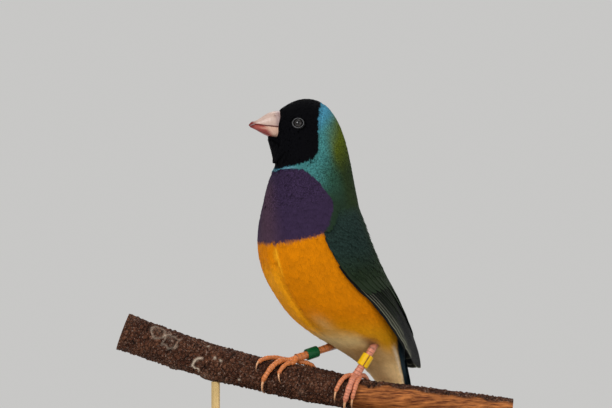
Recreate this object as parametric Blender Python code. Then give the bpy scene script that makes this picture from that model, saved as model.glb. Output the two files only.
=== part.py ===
"""Life-size still model of a male gouldian finch, gripping a cut branch on a display stand.

Lengths are millimetres until a mesh is made, which is in metres. The bird is shaped in its own
frame, forward, left and up, and then turned about the upright axis: the body half towards the
viewer at -Y, and the head back into profile, with its bill to -X.
"""

import math

import bpy
import numpy as np

MM = 0.001
GAP = 0.35

BODY_TURN = 36.0
HEAD_TURN = 8.0
BIRD_Y = -1.5


# Clearing the scene

def clear_scene():
    for old in list(bpy.data.objects):
        bpy.data.objects.remove(old, do_unlink=True)


# Curves through a few named points

def curve_through(rows):
    """A function of the row number that runs smoothly through the rows (a natural cubic)."""
    rows = np.array(rows, float)
    count = len(rows)
    system = np.zeros((count, count))
    right = np.zeros_like(rows)
    system[0, 0] = system[-1, -1] = 1.0
    for i in range(1, count - 1):
        system[i, i - 1:i + 2] = 1.0, 4.0, 1.0
        right[i] = 6.0 * (rows[i - 1] - 2.0 * rows[i] + rows[i + 1])
    bend = np.linalg.solve(system, right)

    def at(place):
        i = int(min(max(math.floor(place), 0), count - 2))
        b = place - i
        a = 1.0 - b
        return (
            a * rows[i]
            + b * rows[i + 1]
            + ((a**3 - a) * bend[i] + (b**3 - b) * bend[i + 1]) / 6.0
        )

    return at


def turned(forward, left, up, turn=BODY_TURN):
    """A point of the bird's own frame, set in the model's frame."""
    c, s = math.cos(math.radians(turn)), math.sin(math.radians(turn))
    return np.array([-c * forward + s * left, -s * forward - c * left + BIRD_Y, up])


def unit(vector):
    return vector / np.linalg.norm(vector)


# Meshes

def material(name, colour, roughness, metallic=0.0):
    made = bpy.data.materials.new(name)
    made.use_nodes = True
    shader = made.node_tree.nodes["Principled BSDF"]
    shader.inputs["Base Color"].default_value = (*colour, 1.0)
    shader.inputs["Roughness"].default_value = roughness
    shader.inputs["Metallic"].default_value = metallic
    return made


def new_object(name, points, faces, finish=None):
    """A mesh object from points in millimetres, its faces turned to point outwards."""
    points = np.array(points, float) * MM
    volume = 0.0
    for face in faces:
        for i in range(1, len(face) - 1):
            a, b, c = points[face[0]], points[face[i]], points[face[i + 1]]
            volume += np.dot(a, np.cross(b, c))
    if volume < 0:
        faces = [tuple(reversed(face)) for face in faces]
    mesh = bpy.data.meshes.new(name)
    mesh.from_pydata([tuple(p) for p in points], [], faces)
    made = bpy.data.objects.new(name, mesh)
    bpy.context.scene.collection.objects.link(made)
    if finish:
        mesh.materials.append(finish)
    return made


def loft(name, rings, finish=None):
    """A closed body through rings of points, each end closed by a fan from its middle."""
    across = len(rings[0])
    points = [p for ring in rings for p in ring]
    first, last = len(points), len(points) + 1
    points += [np.mean(rings[0], axis=0), np.mean(rings[-1], axis=0)]
    faces = []
    for i in range(len(rings) - 1):
        for j in range(across):
            a, b = i * across + j, i * across + (j + 1) % across
            faces.append((a, b, b + across, a + across))
    end = (len(rings) - 1) * across
    for j in range(across):
        k = (j + 1) % across
        faces.append((first, k, j))
        faces.append((last, end + j, end + k))
    return new_object(name, points, faces, finish)


def evaluated_copy(made):
    graph = bpy.context.evaluated_depsgraph_get()
    return bpy.data.meshes.new_from_object(made.evaluated_get(graph))


def keep_largest(mesh):
    """Keeps only the largest closed surface of a mesh."""
    parent = list(range(len(mesh.vertices)))

    def root(i):
        while parent[i] != i:
            parent[i] = parent[parent[i]]
            i = parent[i]
        return i

    for edge in mesh.edges:
        a, b = root(edge.vertices[0]), root(edge.vertices[1])
        parent[a] = b
    groups = {}
    for face in mesh.polygons:
        groups.setdefault(root(face.vertices[0]), []).append(tuple(face.vertices))
    if len(groups) < 2:
        return mesh
    points = np.array([v.co for v in mesh.vertices])

    def size(faces):
        used = sorted({i for face in faces for i in face})
        return np.linalg.norm(np.ptp(points[used], axis=0))

    kept = max(groups.values(), key=size)
    used = sorted({i for face in kept for i in face})
    index = {old: new for new, old in enumerate(used)}
    whole = bpy.data.meshes.new(mesh.name)
    whole.from_pydata(
        [tuple(points[i]) for i in used], [], [tuple(index[i] for i in f) for f in kept]
    )
    return whole


def combined(made, others, operation, finish=None):
    """made after one Boolean with the others, which are then removed."""
    group = bpy.data.collections.new("working pieces")
    bpy.context.scene.collection.children.link(group)
    for other in others:
        bpy.context.scene.collection.objects.unlink(other)
        group.objects.link(other)
    step = made.modifiers.new("join", "BOOLEAN")
    step.operation = operation
    step.operand_type = "COLLECTION"
    step.collection = group
    step.solver = "MANIFOLD"
    bpy.context.view_layer.update()
    mesh = keep_largest(evaluated_copy(made))
    made.modifiers.clear()
    made.data = mesh
    mesh.materials.clear()
    if finish:
        mesh.materials.append(finish)
    for other in others:
        bpy.data.objects.remove(other, do_unlink=True)
    bpy.data.collections.remove(group)
    return made


def ball(name, centre, radius, finish=None, across=12, stretch=(1.0, 1.0, 1.0)):
    rings = []
    for i in range(1, across // 2):
        polar = math.pi * i / (across // 2)
        rings.append([
            np.array(centre) + radius * np.array(stretch) * np.array([
                math.sin(polar) * math.cos(2 * math.pi * j / across),
                math.sin(polar) * math.sin(2 * math.pi * j / across),
                math.cos(polar),
            ])
            for j in range(across)
        ])
    return loft(name, rings, finish)


def tube_rings(middles, radii, sides=10, flat=1.0, up=(0.0, 0.0, 1.0), roll=0.0):
    """Rings round a line of middles. flat squeezes each ring along its own upright."""
    middles = [np.array(p, float) for p in middles]
    rings = []
    for i, middle in enumerate(middles):
        before, after = middles[max(i - 1, 0)], middles[min(i + 1, len(middles) - 1)]
        along = unit(after - before)
        side = unit(np.cross(along, np.array(up, float)))
        rise = np.cross(side, along)
        rings.append([
            middle + radii[i] * (
                math.cos(2 * math.pi * j / sides + roll) * side
                + flat * math.sin(2 * math.pi * j / sides + roll) * rise
            )
            for j in range(sides)
        ])
    return rings


# The body's surface: each station has the belly's line, the back's line, the half width and
# the turn, from the bill's root to the tip of the under-tail coverts

BODY_STATIONS = [
    # belly forward, belly up, back forward, back up, half width, turn
    (18.4, 126.9, 14.0, 136.2, 4.4, HEAD_TURN),
    (16.6, 120.8, 7.0, 139.7, 7.9, HEAD_TURN),
    (16.2, 115.8, -1.2, 138.1, 9.5, HEAD_TURN),
    (18.0, 110.8, -7.2, 129.5, 10.6, 14.0),
    (20.1, 104.3, -10.4, 118.0, 12.6, 24.0),
    (22.0, 97.0, -12.4, 106.3, 15.4, 32.0),
    (22.5, 88.8, -15.4, 94.1, 17.4, BODY_TURN),
    (19.5, 77.2, -21.2, 81.2, 17.9, BODY_TURN),
    (11.0, 66.0, -27.6, 69.7, 16.4, BODY_TURN),
    (-3.5, 56.8, -32.9, 59.0, 12.0, BODY_TURN),
    (-17.5, 49.3, -34.4, 49.6, 7.6, BODY_TURN),
    (-27.0, 40.5, -35.4, 40.8, 5.0, BODY_TURN),
    (-32.8, 31.0, -37.2, 32.0, 3.2, BODY_TURN),
]
body_row = curve_through(BODY_STATIONS)

NAPE_CUT = 2.95
SHOULDER_CUT = 4.75
TAIL_CUT = 10.0
BODY_END = 12.0
RING_SIDES = 28


def oval_point(row, angle):
    """The point of a station's oval, from the belly at 0 over the left side to the back."""
    belly = np.array([row[0], 0.0, row[1]])
    back = np.array([row[2], 0.0, row[3]])
    place = (belly + back) / 2 + math.cos(angle) * (belly - back) / 2
    place[1] = math.sin(angle) * row[4]
    return turned(*place, row[5])


def body_point(place, angle):
    return oval_point(body_row(place), angle)


def body_ring(place, shift=0.0, sides=RING_SIDES):
    """A ring of the body's surface, moved down the body by shift."""
    ring = [body_point(place, 2 * math.pi * j / sides) for j in range(sides)]
    if shift:
        down = unit(np.cross(ring[sides // 4] - ring[0], ring[sides // 2] - ring[0]))
        if np.dot(down, np.mean([body_point(place + 0.2, a) for a in (0, math.pi)], axis=0)
                  - np.mean([ring[0], ring[sides // 2]], axis=0)) < 0:
            down = -down
        ring = [p + shift * down for p in ring]
    return ring


def body_length(name, start, end, steps, finish=None, after_cut=True):
    rings = [body_ring(start, GAP if after_cut else 0.0)]
    first = start + (end - start) / steps * 0.6
    for place in np.linspace(first, end, steps):
        rings.append(body_ring(float(place)))
    return loft(name, rings, finish)


# The head, with its eye sockets, the rims of its lids and the flat that the bill stands on

BILL_ROOT = 14.3
CHIN_LINE = [(BILL_ROOT, 125.65), (16.6, 126.4), (18.8, 126.8), (27.0, 128.4)]
EYE = (8.8, 8.4, 131.8)
EYE_OUTWARD = (0.17, 0.93, 0.31)
EYE_DEPTH = 1.02
EYEBALL_RADIUS = 1.75
LID_RADIUS = 1.93
LID_BAR = 0.34


def eye_direction(side):
    """The way that an eye looks, square to the cheek around it."""
    forward, out, up = EYE_OUTWARD
    return unit(turned(forward, side * out, up, HEAD_TURN) - turned(0.0, 0.0, 0.0, HEAD_TURN))


def eye_centre(side):
    return turned(EYE[0], side * EYE[1], EYE[2], HEAD_TURN) - EYE_DEPTH * eye_direction(side)


def bill_cutter():
    """A block that takes the face off in front of the bill's root, down to the chin's line."""
    profile = [(BILL_ROOT, 142.0), *CHIN_LINE, (27.0, 142.0)]
    half = 9.0
    rings = [
        [turned(forward, side * half, up, HEAD_TURN) for forward, up in profile]
        for side in (-1, 1)
    ]
    return loft("bill cutter", rings)


def lid_rim(side):
    """The raised bare rim round the eye, a little wider than it is tall."""
    out = eye_direction(side)
    centre = eye_centre(side) + (EYE_DEPTH + 0.05) * out
    ahead = turned(1.0, 0.0, 0.0, HEAD_TURN) - turned(0.0, 0.0, 0.0, HEAD_TURN)
    up = unit(np.cross(out, ahead))
    ahead = np.cross(up, out)
    points, faces = [], []
    around, across = 18, 6
    for i in range(around):
        a = 2 * math.pi * i / around
        spoke = math.cos(a) * ahead * 1.06 + math.sin(a) * up * 0.94
        for j in range(across):
            b = 2 * math.pi * j / across
            bar = LID_BAR * (math.cos(b) * unit(spoke) + 1.6 * math.sin(b) * out)
            points.append(centre + LID_RADIUS * spoke + bar)
    for i in range(around):
        for j in range(across):
            a, b = i * across + j, i * across + (j + 1) % across
            c, d = (i + 1) % around * across + j, (i + 1) % around * across + (j + 1) % across
            faces.append((a, b, d, c))
    return new_object("lid rim", points, faces)


def build_head(finish):
    head = body_length("head", 0.0, NAPE_CUT, 11, after_cut=False)
    combined(head, [lid_rim(1), lid_rim(-1)], "UNION")
    sockets = [
        ball("socket", eye_centre(side), EYEBALL_RADIUS + 0.3, across=16) for side in (1, -1)
    ]
    return combined(head, [*sockets, bill_cutter()], "DIFFERENCE", finish)


def build_eyes(finish):
    for side, name in ((1, "eye_left"), (-1, "eye_right")):
        made = ball(name, eye_centre(side), EYEBALL_RADIUS, finish, across=16)
        made.data.shade_smooth()


# The bill: each half is a row of arches from the root to the tip

UPPER_BILL = [
    # forward, culmen up, cutting edge up, half width
    (BILL_ROOT + GAP, 135.9, 130.2, 4.0),
    (17.4, 135.35, 130.65, 3.5),
    (20.2, 133.8, 130.95, 2.65),
    (22.4, 132.45, 131.25, 1.75),
    (23.7, 132.1, 131.1, 1.0),
    (24.7, 131.15, 130.6, 0.32),
]
LOWER_BILL = [
    # forward, keel up, cutting edge up, half width
    (BILL_ROOT + GAP, 126.15, 129.8, 3.7),
    (17.4, 126.95, 130.25, 3.15),
    (20.0, 127.85, 130.55, 2.35),
    (22.4, 129.15, 130.8, 1.35),
    (24.1, 130.15, 130.55, 0.32),
]
NOSTRIL = (15.9, 2.35, 134.3)
NOSTRIL_RADIUS = 0.42


def bill_rings(rows, steps=9, sides=14):
    """Rings with a flat cutting edge and a round outer side that narrows to its ridge."""
    row = curve_through(rows)
    rings = []
    for place in np.linspace(0, len(rows) - 1, steps):
        forward, ridge, edge, half = row(float(place))
        ring = []
        for j in range(sides):
            a = math.pi * j / (sides - 1)
            out = half * math.copysign(abs(math.cos(a)) ** 0.8, math.cos(a))
            rise = abs(math.sin(a)) ** 0.95 * (ridge - edge)
            ring.append(turned(forward, out, edge + rise, HEAD_TURN))
        rings.append(ring)
    return rings


def build_bill(finish):
    upper = loft("bill_upper", bill_rings(UPPER_BILL))
    pits = []
    for side in (1, -1):
        centre = turned(NOSTRIL[0], side * (NOSTRIL[1] + 0.5), NOSTRIL[2], HEAD_TURN)
        pits.append(ball("nostril", centre, NOSTRIL_RADIUS * 1.6, across=8))
    combined(upper, pits, "DIFFERENCE", finish)
    loft("bill_lower", bill_rings(LOWER_BILL), finish)


# Feathers: a vane is a thin closed strip along a line on a surface, with a crowned back

def vane(name, places, outs, halves, thick=0.6, tilt=0.0, crown=0.12):
    """places and outs are the middle line and the way out of the surface there. halves are
    the half widths, of the one side and the other. tilt raises the first side's edge."""
    points, faces = [], []
    lean = math.radians(tilt)
    for i, (place, out) in enumerate(zip(places, outs)):
        along = unit(places[min(i + 1, len(places) - 1)] - places[max(i - 1, 0)])
        side = unit(np.cross(out, along))
        out = np.cross(along, side)
        over = math.cos(lean) * side + math.sin(lean) * out
        rise = math.cos(lean) * out - math.sin(lean) * side
        first, second = halves[i]
        for across, top in ((first, -crown * first), (0.0, 0.0), (-second, -crown * second)):
            upper = place + over * across + rise * top
            points += [upper, upper - rise * thick]
    for i in range(len(places) - 1):
        a, b = 6 * i, 6 * (i + 1)
        for k in (0, 2):
            faces += [(a + k, a + k + 2, b + k + 2), (a + k, b + k + 2, b + k)]
            faces += [(a + k + 1, b + k + 3, a + k + 3), (a + k + 1, b + k + 1, b + k + 3)]
        faces += [(a, b, b + 1), (a, b + 1, a + 1)]
        faces += [(a + 4, a + 5, b + 5), (a + 4, b + 5, b + 4)]
    end = 6 * (len(places) - 1)
    faces += [(0, 1, 3), (0, 3, 2), (2, 3, 5), (2, 5, 4)]
    faces += [
        (end, end + 3, end + 1), (end, end + 2, end + 3),
        (end + 2, end + 5, end + 3), (end + 2, end + 4, end + 5),
    ]
    return new_object(name, points, faces)


def vane_outline(along, sharp=0.5):
    """Share of the full width: quickly wide at the root, rounded in at the tip."""
    root = min(1.0, 0.62 + 1.3 * along)
    start = 0.62 if sharp < 0.7 else 0.35
    if along <= start:
        return root
    tip = (along - start) / (1.0 - start)
    return root * max(0.16, max(0.0, 1.0 - tip**2) ** sharp)


# The folded wings: their feathers lie on a shell a little outside the body

WING_STATIONS = [
    # as BODY_STATIONS, from the shoulder to beyond the wing's tip
    (20.6, 104.3, -11.0, 118.4, 13.0, 24.0),
    (22.6, 97.0, -12.8, 106.8, 16.0, 32.0),
    (23.4, 88.8, -15.8, 94.8, 18.1, BODY_TURN),
    (20.8, 77.2, -22.0, 82.0, 18.9, BODY_TURN),
    (12.5, 66.2, -29.2, 70.6, 18.0, BODY_TURN),
    (-1.5, 57.0, -35.4, 60.4, 14.4, BODY_TURN),
    (-15.0, 48.6, -40.8, 50.8, 9.2, BODY_TURN),
    (-25.0, 39.5, -45.0, 41.2, 6.0, BODY_TURN),
]
WING_FIRST = 4.0
wing_row = curve_through(WING_STATIONS)
WING_FRONT = 5.35
WING_TIP = 10.2
WING_BED = (-1.15, -0.15)


def wing_point(place, angle):
    return oval_point(wing_row(place - WING_FIRST), angle)


def wing_angle(place, across):
    """The angle on the shell of a place on the wing, from its lower edge 0 to its upper 1."""
    along = (place - WING_FRONT) / (WING_TIP - WING_FRONT)
    lower = 69.0 + 92.0 * max(along, 0.0) ** 1.9
    upper = 136.0 + 42.0 * min(max(along, 0.0), 1.0) ** 0.55
    return math.radians(lower + (upper - lower) * across)


def on_wing(place, across, height, side):
    """(point, way out) of a place on the left wing, side 1, or the right one, side -1."""
    angle = wing_angle(place, across)
    step = 0.02
    here = wing_point(place, angle)
    down = wing_point(place + step, angle) - wing_point(place - step, angle)
    over = wing_point(place, angle + step) - wing_point(place, angle - step)
    out = unit(np.cross(over, down))
    if np.dot(out, here - (wing_point(place, 0) + wing_point(place, math.pi)) / 2) < 0:
        out = -out
    if side < 0:
        here_mirror = wing_point(place, -angle)
        middle = (wing_point(place, 0) + wing_point(place, math.pi)) / 2
        row = wing_row(place - WING_FIRST)
        across_bird = turned(0, 1, 0, row[5]) - turned(0, 0, 0, row[5])
        out = out - 2 * np.dot(out, across_bird) * across_bird
        here = here_mirror
        if np.dot(out, here - middle) < 0:
            out = -out
    return here + height * out, out


def wing_slab(name, side, places, shares, heights, cut_back=0.0):
    """A curved slab on the shell with rounded front corners: heights gives its upper and lower
    height at a place, and cut_back draws its rear end in towards the upper edge."""
    points = []
    for place in places:
        rear = (place - places[0]) / (places[-1] - places[0])
        for height in heights(place):
            for share in shares:
                edge = abs(2.0 * min(max(share, 0.0), 1.0) - 1.0)
                corner = 0.5 * edge**3 * max(0.0, 1.0 - (place - WING_FRONT) / 2.0) ** 3
                drawn = place + corner - cut_back * rear**4 * max(share, 0.0) ** 2
                points.append(on_wing(float(drawn), float(share), height, side)[0])
    count = len(shares)
    faces = []
    for i in range(len(places) - 1):
        a, b = 2 * count * i, 2 * count * (i + 1)
        for j in range(count - 1):
            faces += [(a + j, a + j + 1, b + j + 1), (a + j, b + j + 1, b + j)]
            k = count + j
            faces += [(a + k, b + k + 1, a + k + 1), (a + k, b + k, b + k + 1)]
        faces += [(a, b, b + count), (a, b + count, a + count)]
        e = count - 1
        faces += [(a + e, a + e + count, b + e + count), (a + e, b + e + count, b + e)]
    last = 2 * count * (len(places) - 1)
    for j in range(count - 1):
        faces += [(j, j + count, j + count + 1), (j, j + count + 1, j + 1)]
        faces += [
            (last + j, last + j + 1, last + j + count + 1),
            (last + j, last + j + count + 1, last + j + count),
        ]
    return new_object(name, points, faces)


def wing_bed(side):
    """The wing's own body under the vanes, from the bend of the wing to the flight feathers."""
    def heights(place):
        front = min(1.0, (place - WING_FRONT) / 0.5 + 0.25)
        return WING_BED[1] - (1.0 - front) * 0.6, WING_BED[0]

    places = np.linspace(WING_FRONT, 9.6, 12)
    return wing_slab("wing bed", side, places, np.linspace(0.02, 0.96, 8), heights, 0.9)


def wing_room(side):
    """The room that the folded wing takes out of the body's side."""
    def heights(place):
        return 5.0, WING_BED[0] - 0.7

    places = np.linspace(WING_FRONT - 0.08, TAIL_CUT + 0.25, 20)
    return wing_slab("wing room", side, places, np.linspace(-0.065, 1.03, 12), heights)


def wing_vane(side, start, end, half, height, tilt, thick=0.75, sharp=0.5, rows=6, narrow=1.0):
    """A vane from start to end, each a place and a share across the wing."""
    places, outs, halves = [], [], []
    for i in range(rows):
        s = i / (rows - 1)
        place = start[0] + (end[0] - start[0]) * s
        share = start[1] + (end[1] - start[1]) * s
        lift = height[0] + (height[1] - height[0]) * s
        point, out = on_wing(place, share, lift, side)
        places.append(point)
        outs.append(out)
        width = half * vane_outline(s, sharp)
        halves.append((width * narrow, width) if side > 0 else (width, width * narrow))
    return vane("vane", places, outs, halves, thick, tilt * side)


PRIMARIES = 7
SECONDARIES = 5
TERTIALS = 3
GREATER_COVERTS = 6
MEDIAN_COVERTS = 5
PRIMARY_COVERTS = 3


def wing_vanes(side):
    vanes = []
    for k in range(PRIMARIES):
        share = 0.04 + 0.05 * k
        tip = WING_TIP - 0.14 * abs(k - 1) - 0.08 * max(k - 1, 0)
        vanes.append(wing_vane(
            side, (6.9, share + 0.02), (tip, share * 1.25 + 0.05), 1.75, (0.0, 0.1), -13.0,
            sharp=0.75, narrow=1.1,
        ))
    for k in range(SECONDARIES):
        share = 0.34 + 0.075 * k
        vanes.append(wing_vane(
            side, (6.8, share), (9.05 - 0.06 * k, share + 0.12), 2.2, (0.2, 0.3), -12.0,
        ))
    for k in range(TERTIALS):
        share = 0.66 + 0.11 * k
        vanes.append(wing_vane(
            side, (6.7, share), (9.2 - 0.42 * k, share + 0.04), 3.0 - 0.25 * k,
            (0.3, 0.65 + 0.1 * k), -8.0, narrow=0.75,
        ))
    for k in range(PRIMARY_COVERTS):
        vanes.append(wing_vane(
            side, (6.2, 0.07 + 0.055 * k), (7.75 - 0.12 * k, 0.07 + 0.06 * k), 1.5,
            (-0.1, 0.5), -10.0, rows=5,
        ))
    for k in range(GREATER_COVERTS):
        share = 0.2 + 0.13 * k
        vanes.append(wing_vane(
            side, (6.15, share), (7.45 + 0.03 * k, share + 0.03), 2.5, (0.0, 0.8), -9.0, rows=5,
        ))
    for k in range(MEDIAN_COVERTS):
        share = 0.17 + 0.15 * k
        vanes.append(wing_vane(
            side, (5.65, share), (6.65, share + 0.02), 2.7, (-0.2, 0.75), -8.0, rows=4,
        ))
    return vanes


def build_wings(finish):
    for side, name in ((1, "wing_left"), (-1, "wing_right")):
        bed = wing_bed(side)
        bed.name = name
        combined(bed, wing_vanes(side), "UNION", finish)


def build_torso(finish):
    """Breast, belly and back in one body, with room for the folded wings."""
    torso = body_length("torso", SHOULDER_CUT, TAIL_CUT, 19)
    return combined(torso, [wing_room(1), wing_room(-1)], "DIFFERENCE", finish)


# The tail: the under-tail coverts are the end of the body's shape, and twelve tail feathers
# lie behind them, the middle pair on top and drawn out into thin points

TAIL_ROOT = (-32.6, 49.0)
TAIL_DROP = 78.0
TAIL_PAIRS = 5
MIDDLE_LENGTH = 35.5


def tail_place(down, left, back):
    """A point of the tail: down it, to the bird's left, and out of its upper side."""
    lean = math.radians(TAIL_DROP)
    way = np.array([-math.cos(lean), -math.sin(lean)])
    upper = np.array([-math.sin(lean), math.cos(lean)])
    forward, up = np.array(TAIL_ROOT) + way * down + upper * back
    return turned(forward, left, up)


def tail_vane(side, down, left, back, halves_at, thick=0.65, tilt=0.0, rows=6):
    """A tail feather between two places down the tail, with its own half widths."""
    places, outs, halves = [], [], []
    upper = unit(tail_place(0, 0, 1) - tail_place(0, 0, 0))
    for i in range(rows):
        s = i / (rows - 1)
        places.append(tail_place(
            down[0] + (down[1] - down[0]) * s,
            side * (left[0] + (left[1] - left[0]) * s),
            back[0] + (back[1] - back[0]) * s,
        ))
        outs.append(upper)
        halves.append((halves_at(s), halves_at(s)))
    return vane("vane", places, outs, halves, thick, tilt * side)


def middle_width(s):
    """The middle pair's half width: a blade that narrows into a thread-like point."""
    return 1.9 * max(0.0, 1.0 - s) ** 0.8 + 0.34 if s > 0.35 else 1.75


def tail_vanes():
    vanes = []
    for side in (1, -1):
        for k in range(1, TAIL_PAIRS + 1):
            length = 27.5 - 0.8 * k
            vanes.append(tail_vane(
                side, (0.5, length), (0.9 + 0.3 * k, 0.9 + 0.62 * k),
                (0.9 - 0.34 * k, 0.8 - 0.34 * k),
                lambda s: 2.0 * vane_outline(s, 0.5), tilt=-3.0,
            ))
        vanes.append(tail_vane(
            side, (0.5, MIDDLE_LENGTH), (0.9, 0.75), (1.2, 0.9), middle_width, rows=9,
        ))
        for k in range(3):
            vanes.append(tail_vane(
                side, (0.5, 13.5 - 2.0 * k), (0.8 + 1.0 * k, 1.0 + 1.2 * k),
                (1.2 - 0.25 * k, 1.9 - 0.45 * k),
                lambda s: 2.1 * vane_outline(s, 0.5), thick=0.8, tilt=-6.0, rows=5,
            ))
    return vanes


def build_tail(finish):
    root = body_length("tail", TAIL_CUT, BODY_END, 8)
    return combined(root, tail_vanes(), "UNION", finish)


# The branch that it grips: thick and dark to the left, thinner to the right

BRANCH_STATIONS = [
    # along, depth, middle up, radius
    (-68.0, 1.2, 59.9, 6.5),
    (-45.0, 0.6, 51.9, 5.95),
    (-20.0, 0.0, 45.0, 5.8),
    (-6.0, 0.0, 42.1, 6.05),
    (5.0, 0.0, 39.9, 5.85),
    (15.0, 0.0, 38.0, 5.35),
    (34.0, 0.2, 35.8, 5.1),
    (66.0, 0.8, 31.6, 5.0),
]
branch_row = curve_through(BRANCH_STATIONS)
BRANCH_STEPS = 28
BRANCH_SIDES = 18


def branch_at(x):
    """The branch's middle and radius where it is x along the stand."""
    low, high = 0.0, len(BRANCH_STATIONS) - 1.0
    for _ in range(40):
        middle = (low + high) / 2
        if branch_row(middle)[0] < x:
            low = middle
        else:
            high = middle
    row = branch_row((low + high) / 2)
    return row[:3], row[3]


def branch_frame(x):
    middle, radius = branch_at(x)
    along = unit(branch_at(x + 0.5)[0] - branch_at(x - 0.5)[0])
    front = unit(np.cross(along, np.array([0.0, 0.0, 1.0])))
    top = np.cross(front, along)
    return middle, radius, front, top


def on_branch(x, angle, height):
    """A point off the branch: angle is degrees from its top towards the viewer."""
    middle, radius, front, top = branch_frame(x)
    a = math.radians(angle)
    return middle + (radius + height) * (math.cos(a) * top + math.sin(a) * front)


def build_branch(finish):
    rings = []
    for i in range(BRANCH_STEPS + 1):
        x = -68.0 + 134.0 * i / BRANCH_STEPS
        rings.append([
            on_branch(x, 360.0 * j / BRANCH_SIDES, -0.14 * (1 + math.sin(2.3 * i + 1.7 * j)))
            for j in range(BRANCH_SIDES)
        ])
    return loft("perch_branch", rings, finish)


# Legs and feet. Each toe runs along the branch and round it, between two places on it

TOE_SIDES = 7
TOE_CLEAR = 0.35
LEGS = {
    "left": {
        "ankle": (18.6, -1.6, 54.8),
        "pad": (11.4, 22.0, 1.5),
        "toes": [
            # root and tip, each as (along, degrees from the branch's top), and the radius
            ((9.4, 26.0), (5.4, 118.0), 0.78),
            ((11.0, 32.0), (9.0, 156.0), 0.92),
            ((12.8, 28.0), (11.2, 138.0), 0.76),
        ],
        "hind": ((12.6, 4.0), (16.6, -104.0), 0.85),
    },
    "right": {
        "ankle": (4.0, 6.4, 54.5),
        "pad": (-9.6, 2.0, 2.0),
        "toes": [
            ((-12.4, 0.0), (-21.9, 66.0), 0.78),
            ((-12.2, 16.0), (-18.9, 146.0), 0.9),
            ((-10.4, 24.0), (-13.2, 102.0), 0.76),
        ],
        "hind": ((-8.4, -8.0), (-2.2, -62.0), 0.85),
    },
}
SHANK_RADIUS = 1.05
CLAW_SHARE = 0.3


def toe_middles(start, end, radius, steps):
    """The middle line of a toe with its claw, high over its root and low to its tip."""
    middles = []
    for i in range(steps + 1):
        s = i / steps
        x = start[0] + (end[0] - start[0]) * s**0.9
        angle = start[1] + (end[1] - start[1]) * s
        claw = max(0.0, (s - 1 + CLAW_SHARE) / CLAW_SHARE)
        arch = 0.3 * math.sin(math.pi * min(s / (1 - CLAW_SHARE), 1.0))
        tip = 0.9 * math.sin(math.pi * claw) - 0.35 * claw
        height = TOE_CLEAR + radius + arch * (1 - s) + tip * radius
        middles.append(on_branch(x, angle, max(height, TOE_CLEAR + 0.3)))
    return middles


def toe_radii(radius, steps):
    """Plump joints along the toe, then a claw that tapers to its point."""
    radii = []
    for i in range(steps + 1):
        s = i / steps
        if s <= 1 - CLAW_SHARE:
            joints = math.cos(2 * math.pi * 3 * s / (1 - CLAW_SHARE))
            radii.append(radius * (1.0 - 0.22 * s + 0.1 * joints))
        else:
            claw = (s - 1 + CLAW_SHARE) / CLAW_SHARE
            radii.append(radius * (0.62 * (1 - claw) + 0.24))
    return radii


def toe(start, end, radius, steps=13):
    """A toe, bent over the branch, with its claw."""
    middles = toe_middles(start, end, radius, steps)
    middle, _, front, _ = branch_frame((start[0] + end[0]) / 2)
    along = np.cross(front, np.array([0.0, 0.0, 1.0]))
    return loft("toe", tube_rings(middles, toe_radii(radius, steps), TOE_SIDES, up=along))


def build_foot(name, leg, finish):
    """Four toes that meet in the pad under the shank."""
    x, angle, height = leg["pad"]
    centre = on_branch(x, angle, height)
    pad = ball(name, centre, 1.35, across=10, stretch=(1.15, 1.0, 0.85))
    pieces = []
    for start, end, radius in leg["toes"]:
        pieces.append(toe(start, end, radius))
        web = [centre, (centre + on_branch(*start, 1.3)) / 2, on_branch(*start, 1.25)]
        pieces.append(loft("web", tube_rings(web, [0.95, 0.9, 0.8], 8)))
    start, end, radius = leg["hind"]
    pieces.append(toe(start, end, radius, 11))
    web = [centre, on_branch(*start, 1.25)]
    pieces.append(loft("web", tube_rings(web, [0.9, 0.85], 8)))
    combined(pad, pieces, "UNION")
    low, high, way = shank_line(leg)
    room = tube_rings([low - way * GAP, high], [SHANK_RADIUS * 1.2 + GAP] * 2, 16)
    return combined(pad, [loft("shank room", room)], "DIFFERENCE", finish)


def shank_line(leg):
    """(foot end, ankle end) of the shank's middle line."""
    x, angle, height = leg["pad"]
    foot = on_branch(x, angle, height)
    ankle = np.array(leg["ankle"])
    way = unit(ankle - foot)
    return foot + way * 1.6, ankle, way


def body_clearance(grow, first, last):
    """The body's shape grown on all sides, to cut what has to stand clear of it."""
    rings = []
    for place in np.linspace(first, last, 16):
        ring = body_ring(float(place))
        middle = np.mean(ring, axis=0)
        rings.append([p + grow * unit(p - middle) for p in ring])
    return loft("body clearance", rings)


def build_shank(name, leg, finish):
    """The bare shank from the foot's pad to the belly's feathers, oval and ridged."""
    low, high, way = shank_line(leg)
    high = high + way * 2.0
    steps = 9
    middles = [low + (high - low) * i / steps for i in range(steps + 1)]
    radii = [
        SHANK_RADIUS * (1.0 + 0.14 * abs(2 * i / steps - 1) ** 3 + 0.03 * (i % 2))
        for i in range(steps + 1)
    ]
    shank = loft(name, tube_rings(middles, radii, 10, up=(0.3, 1.0, 0.2)))
    return combined(shank, [body_clearance(0.35, 7.6, 11.0)], "DIFFERENCE", finish)


RING_INNER = 1.55
RING_OUTER = 2.0
RING_LENGTH = 4.4
RING_SLIT = 14.0


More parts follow.
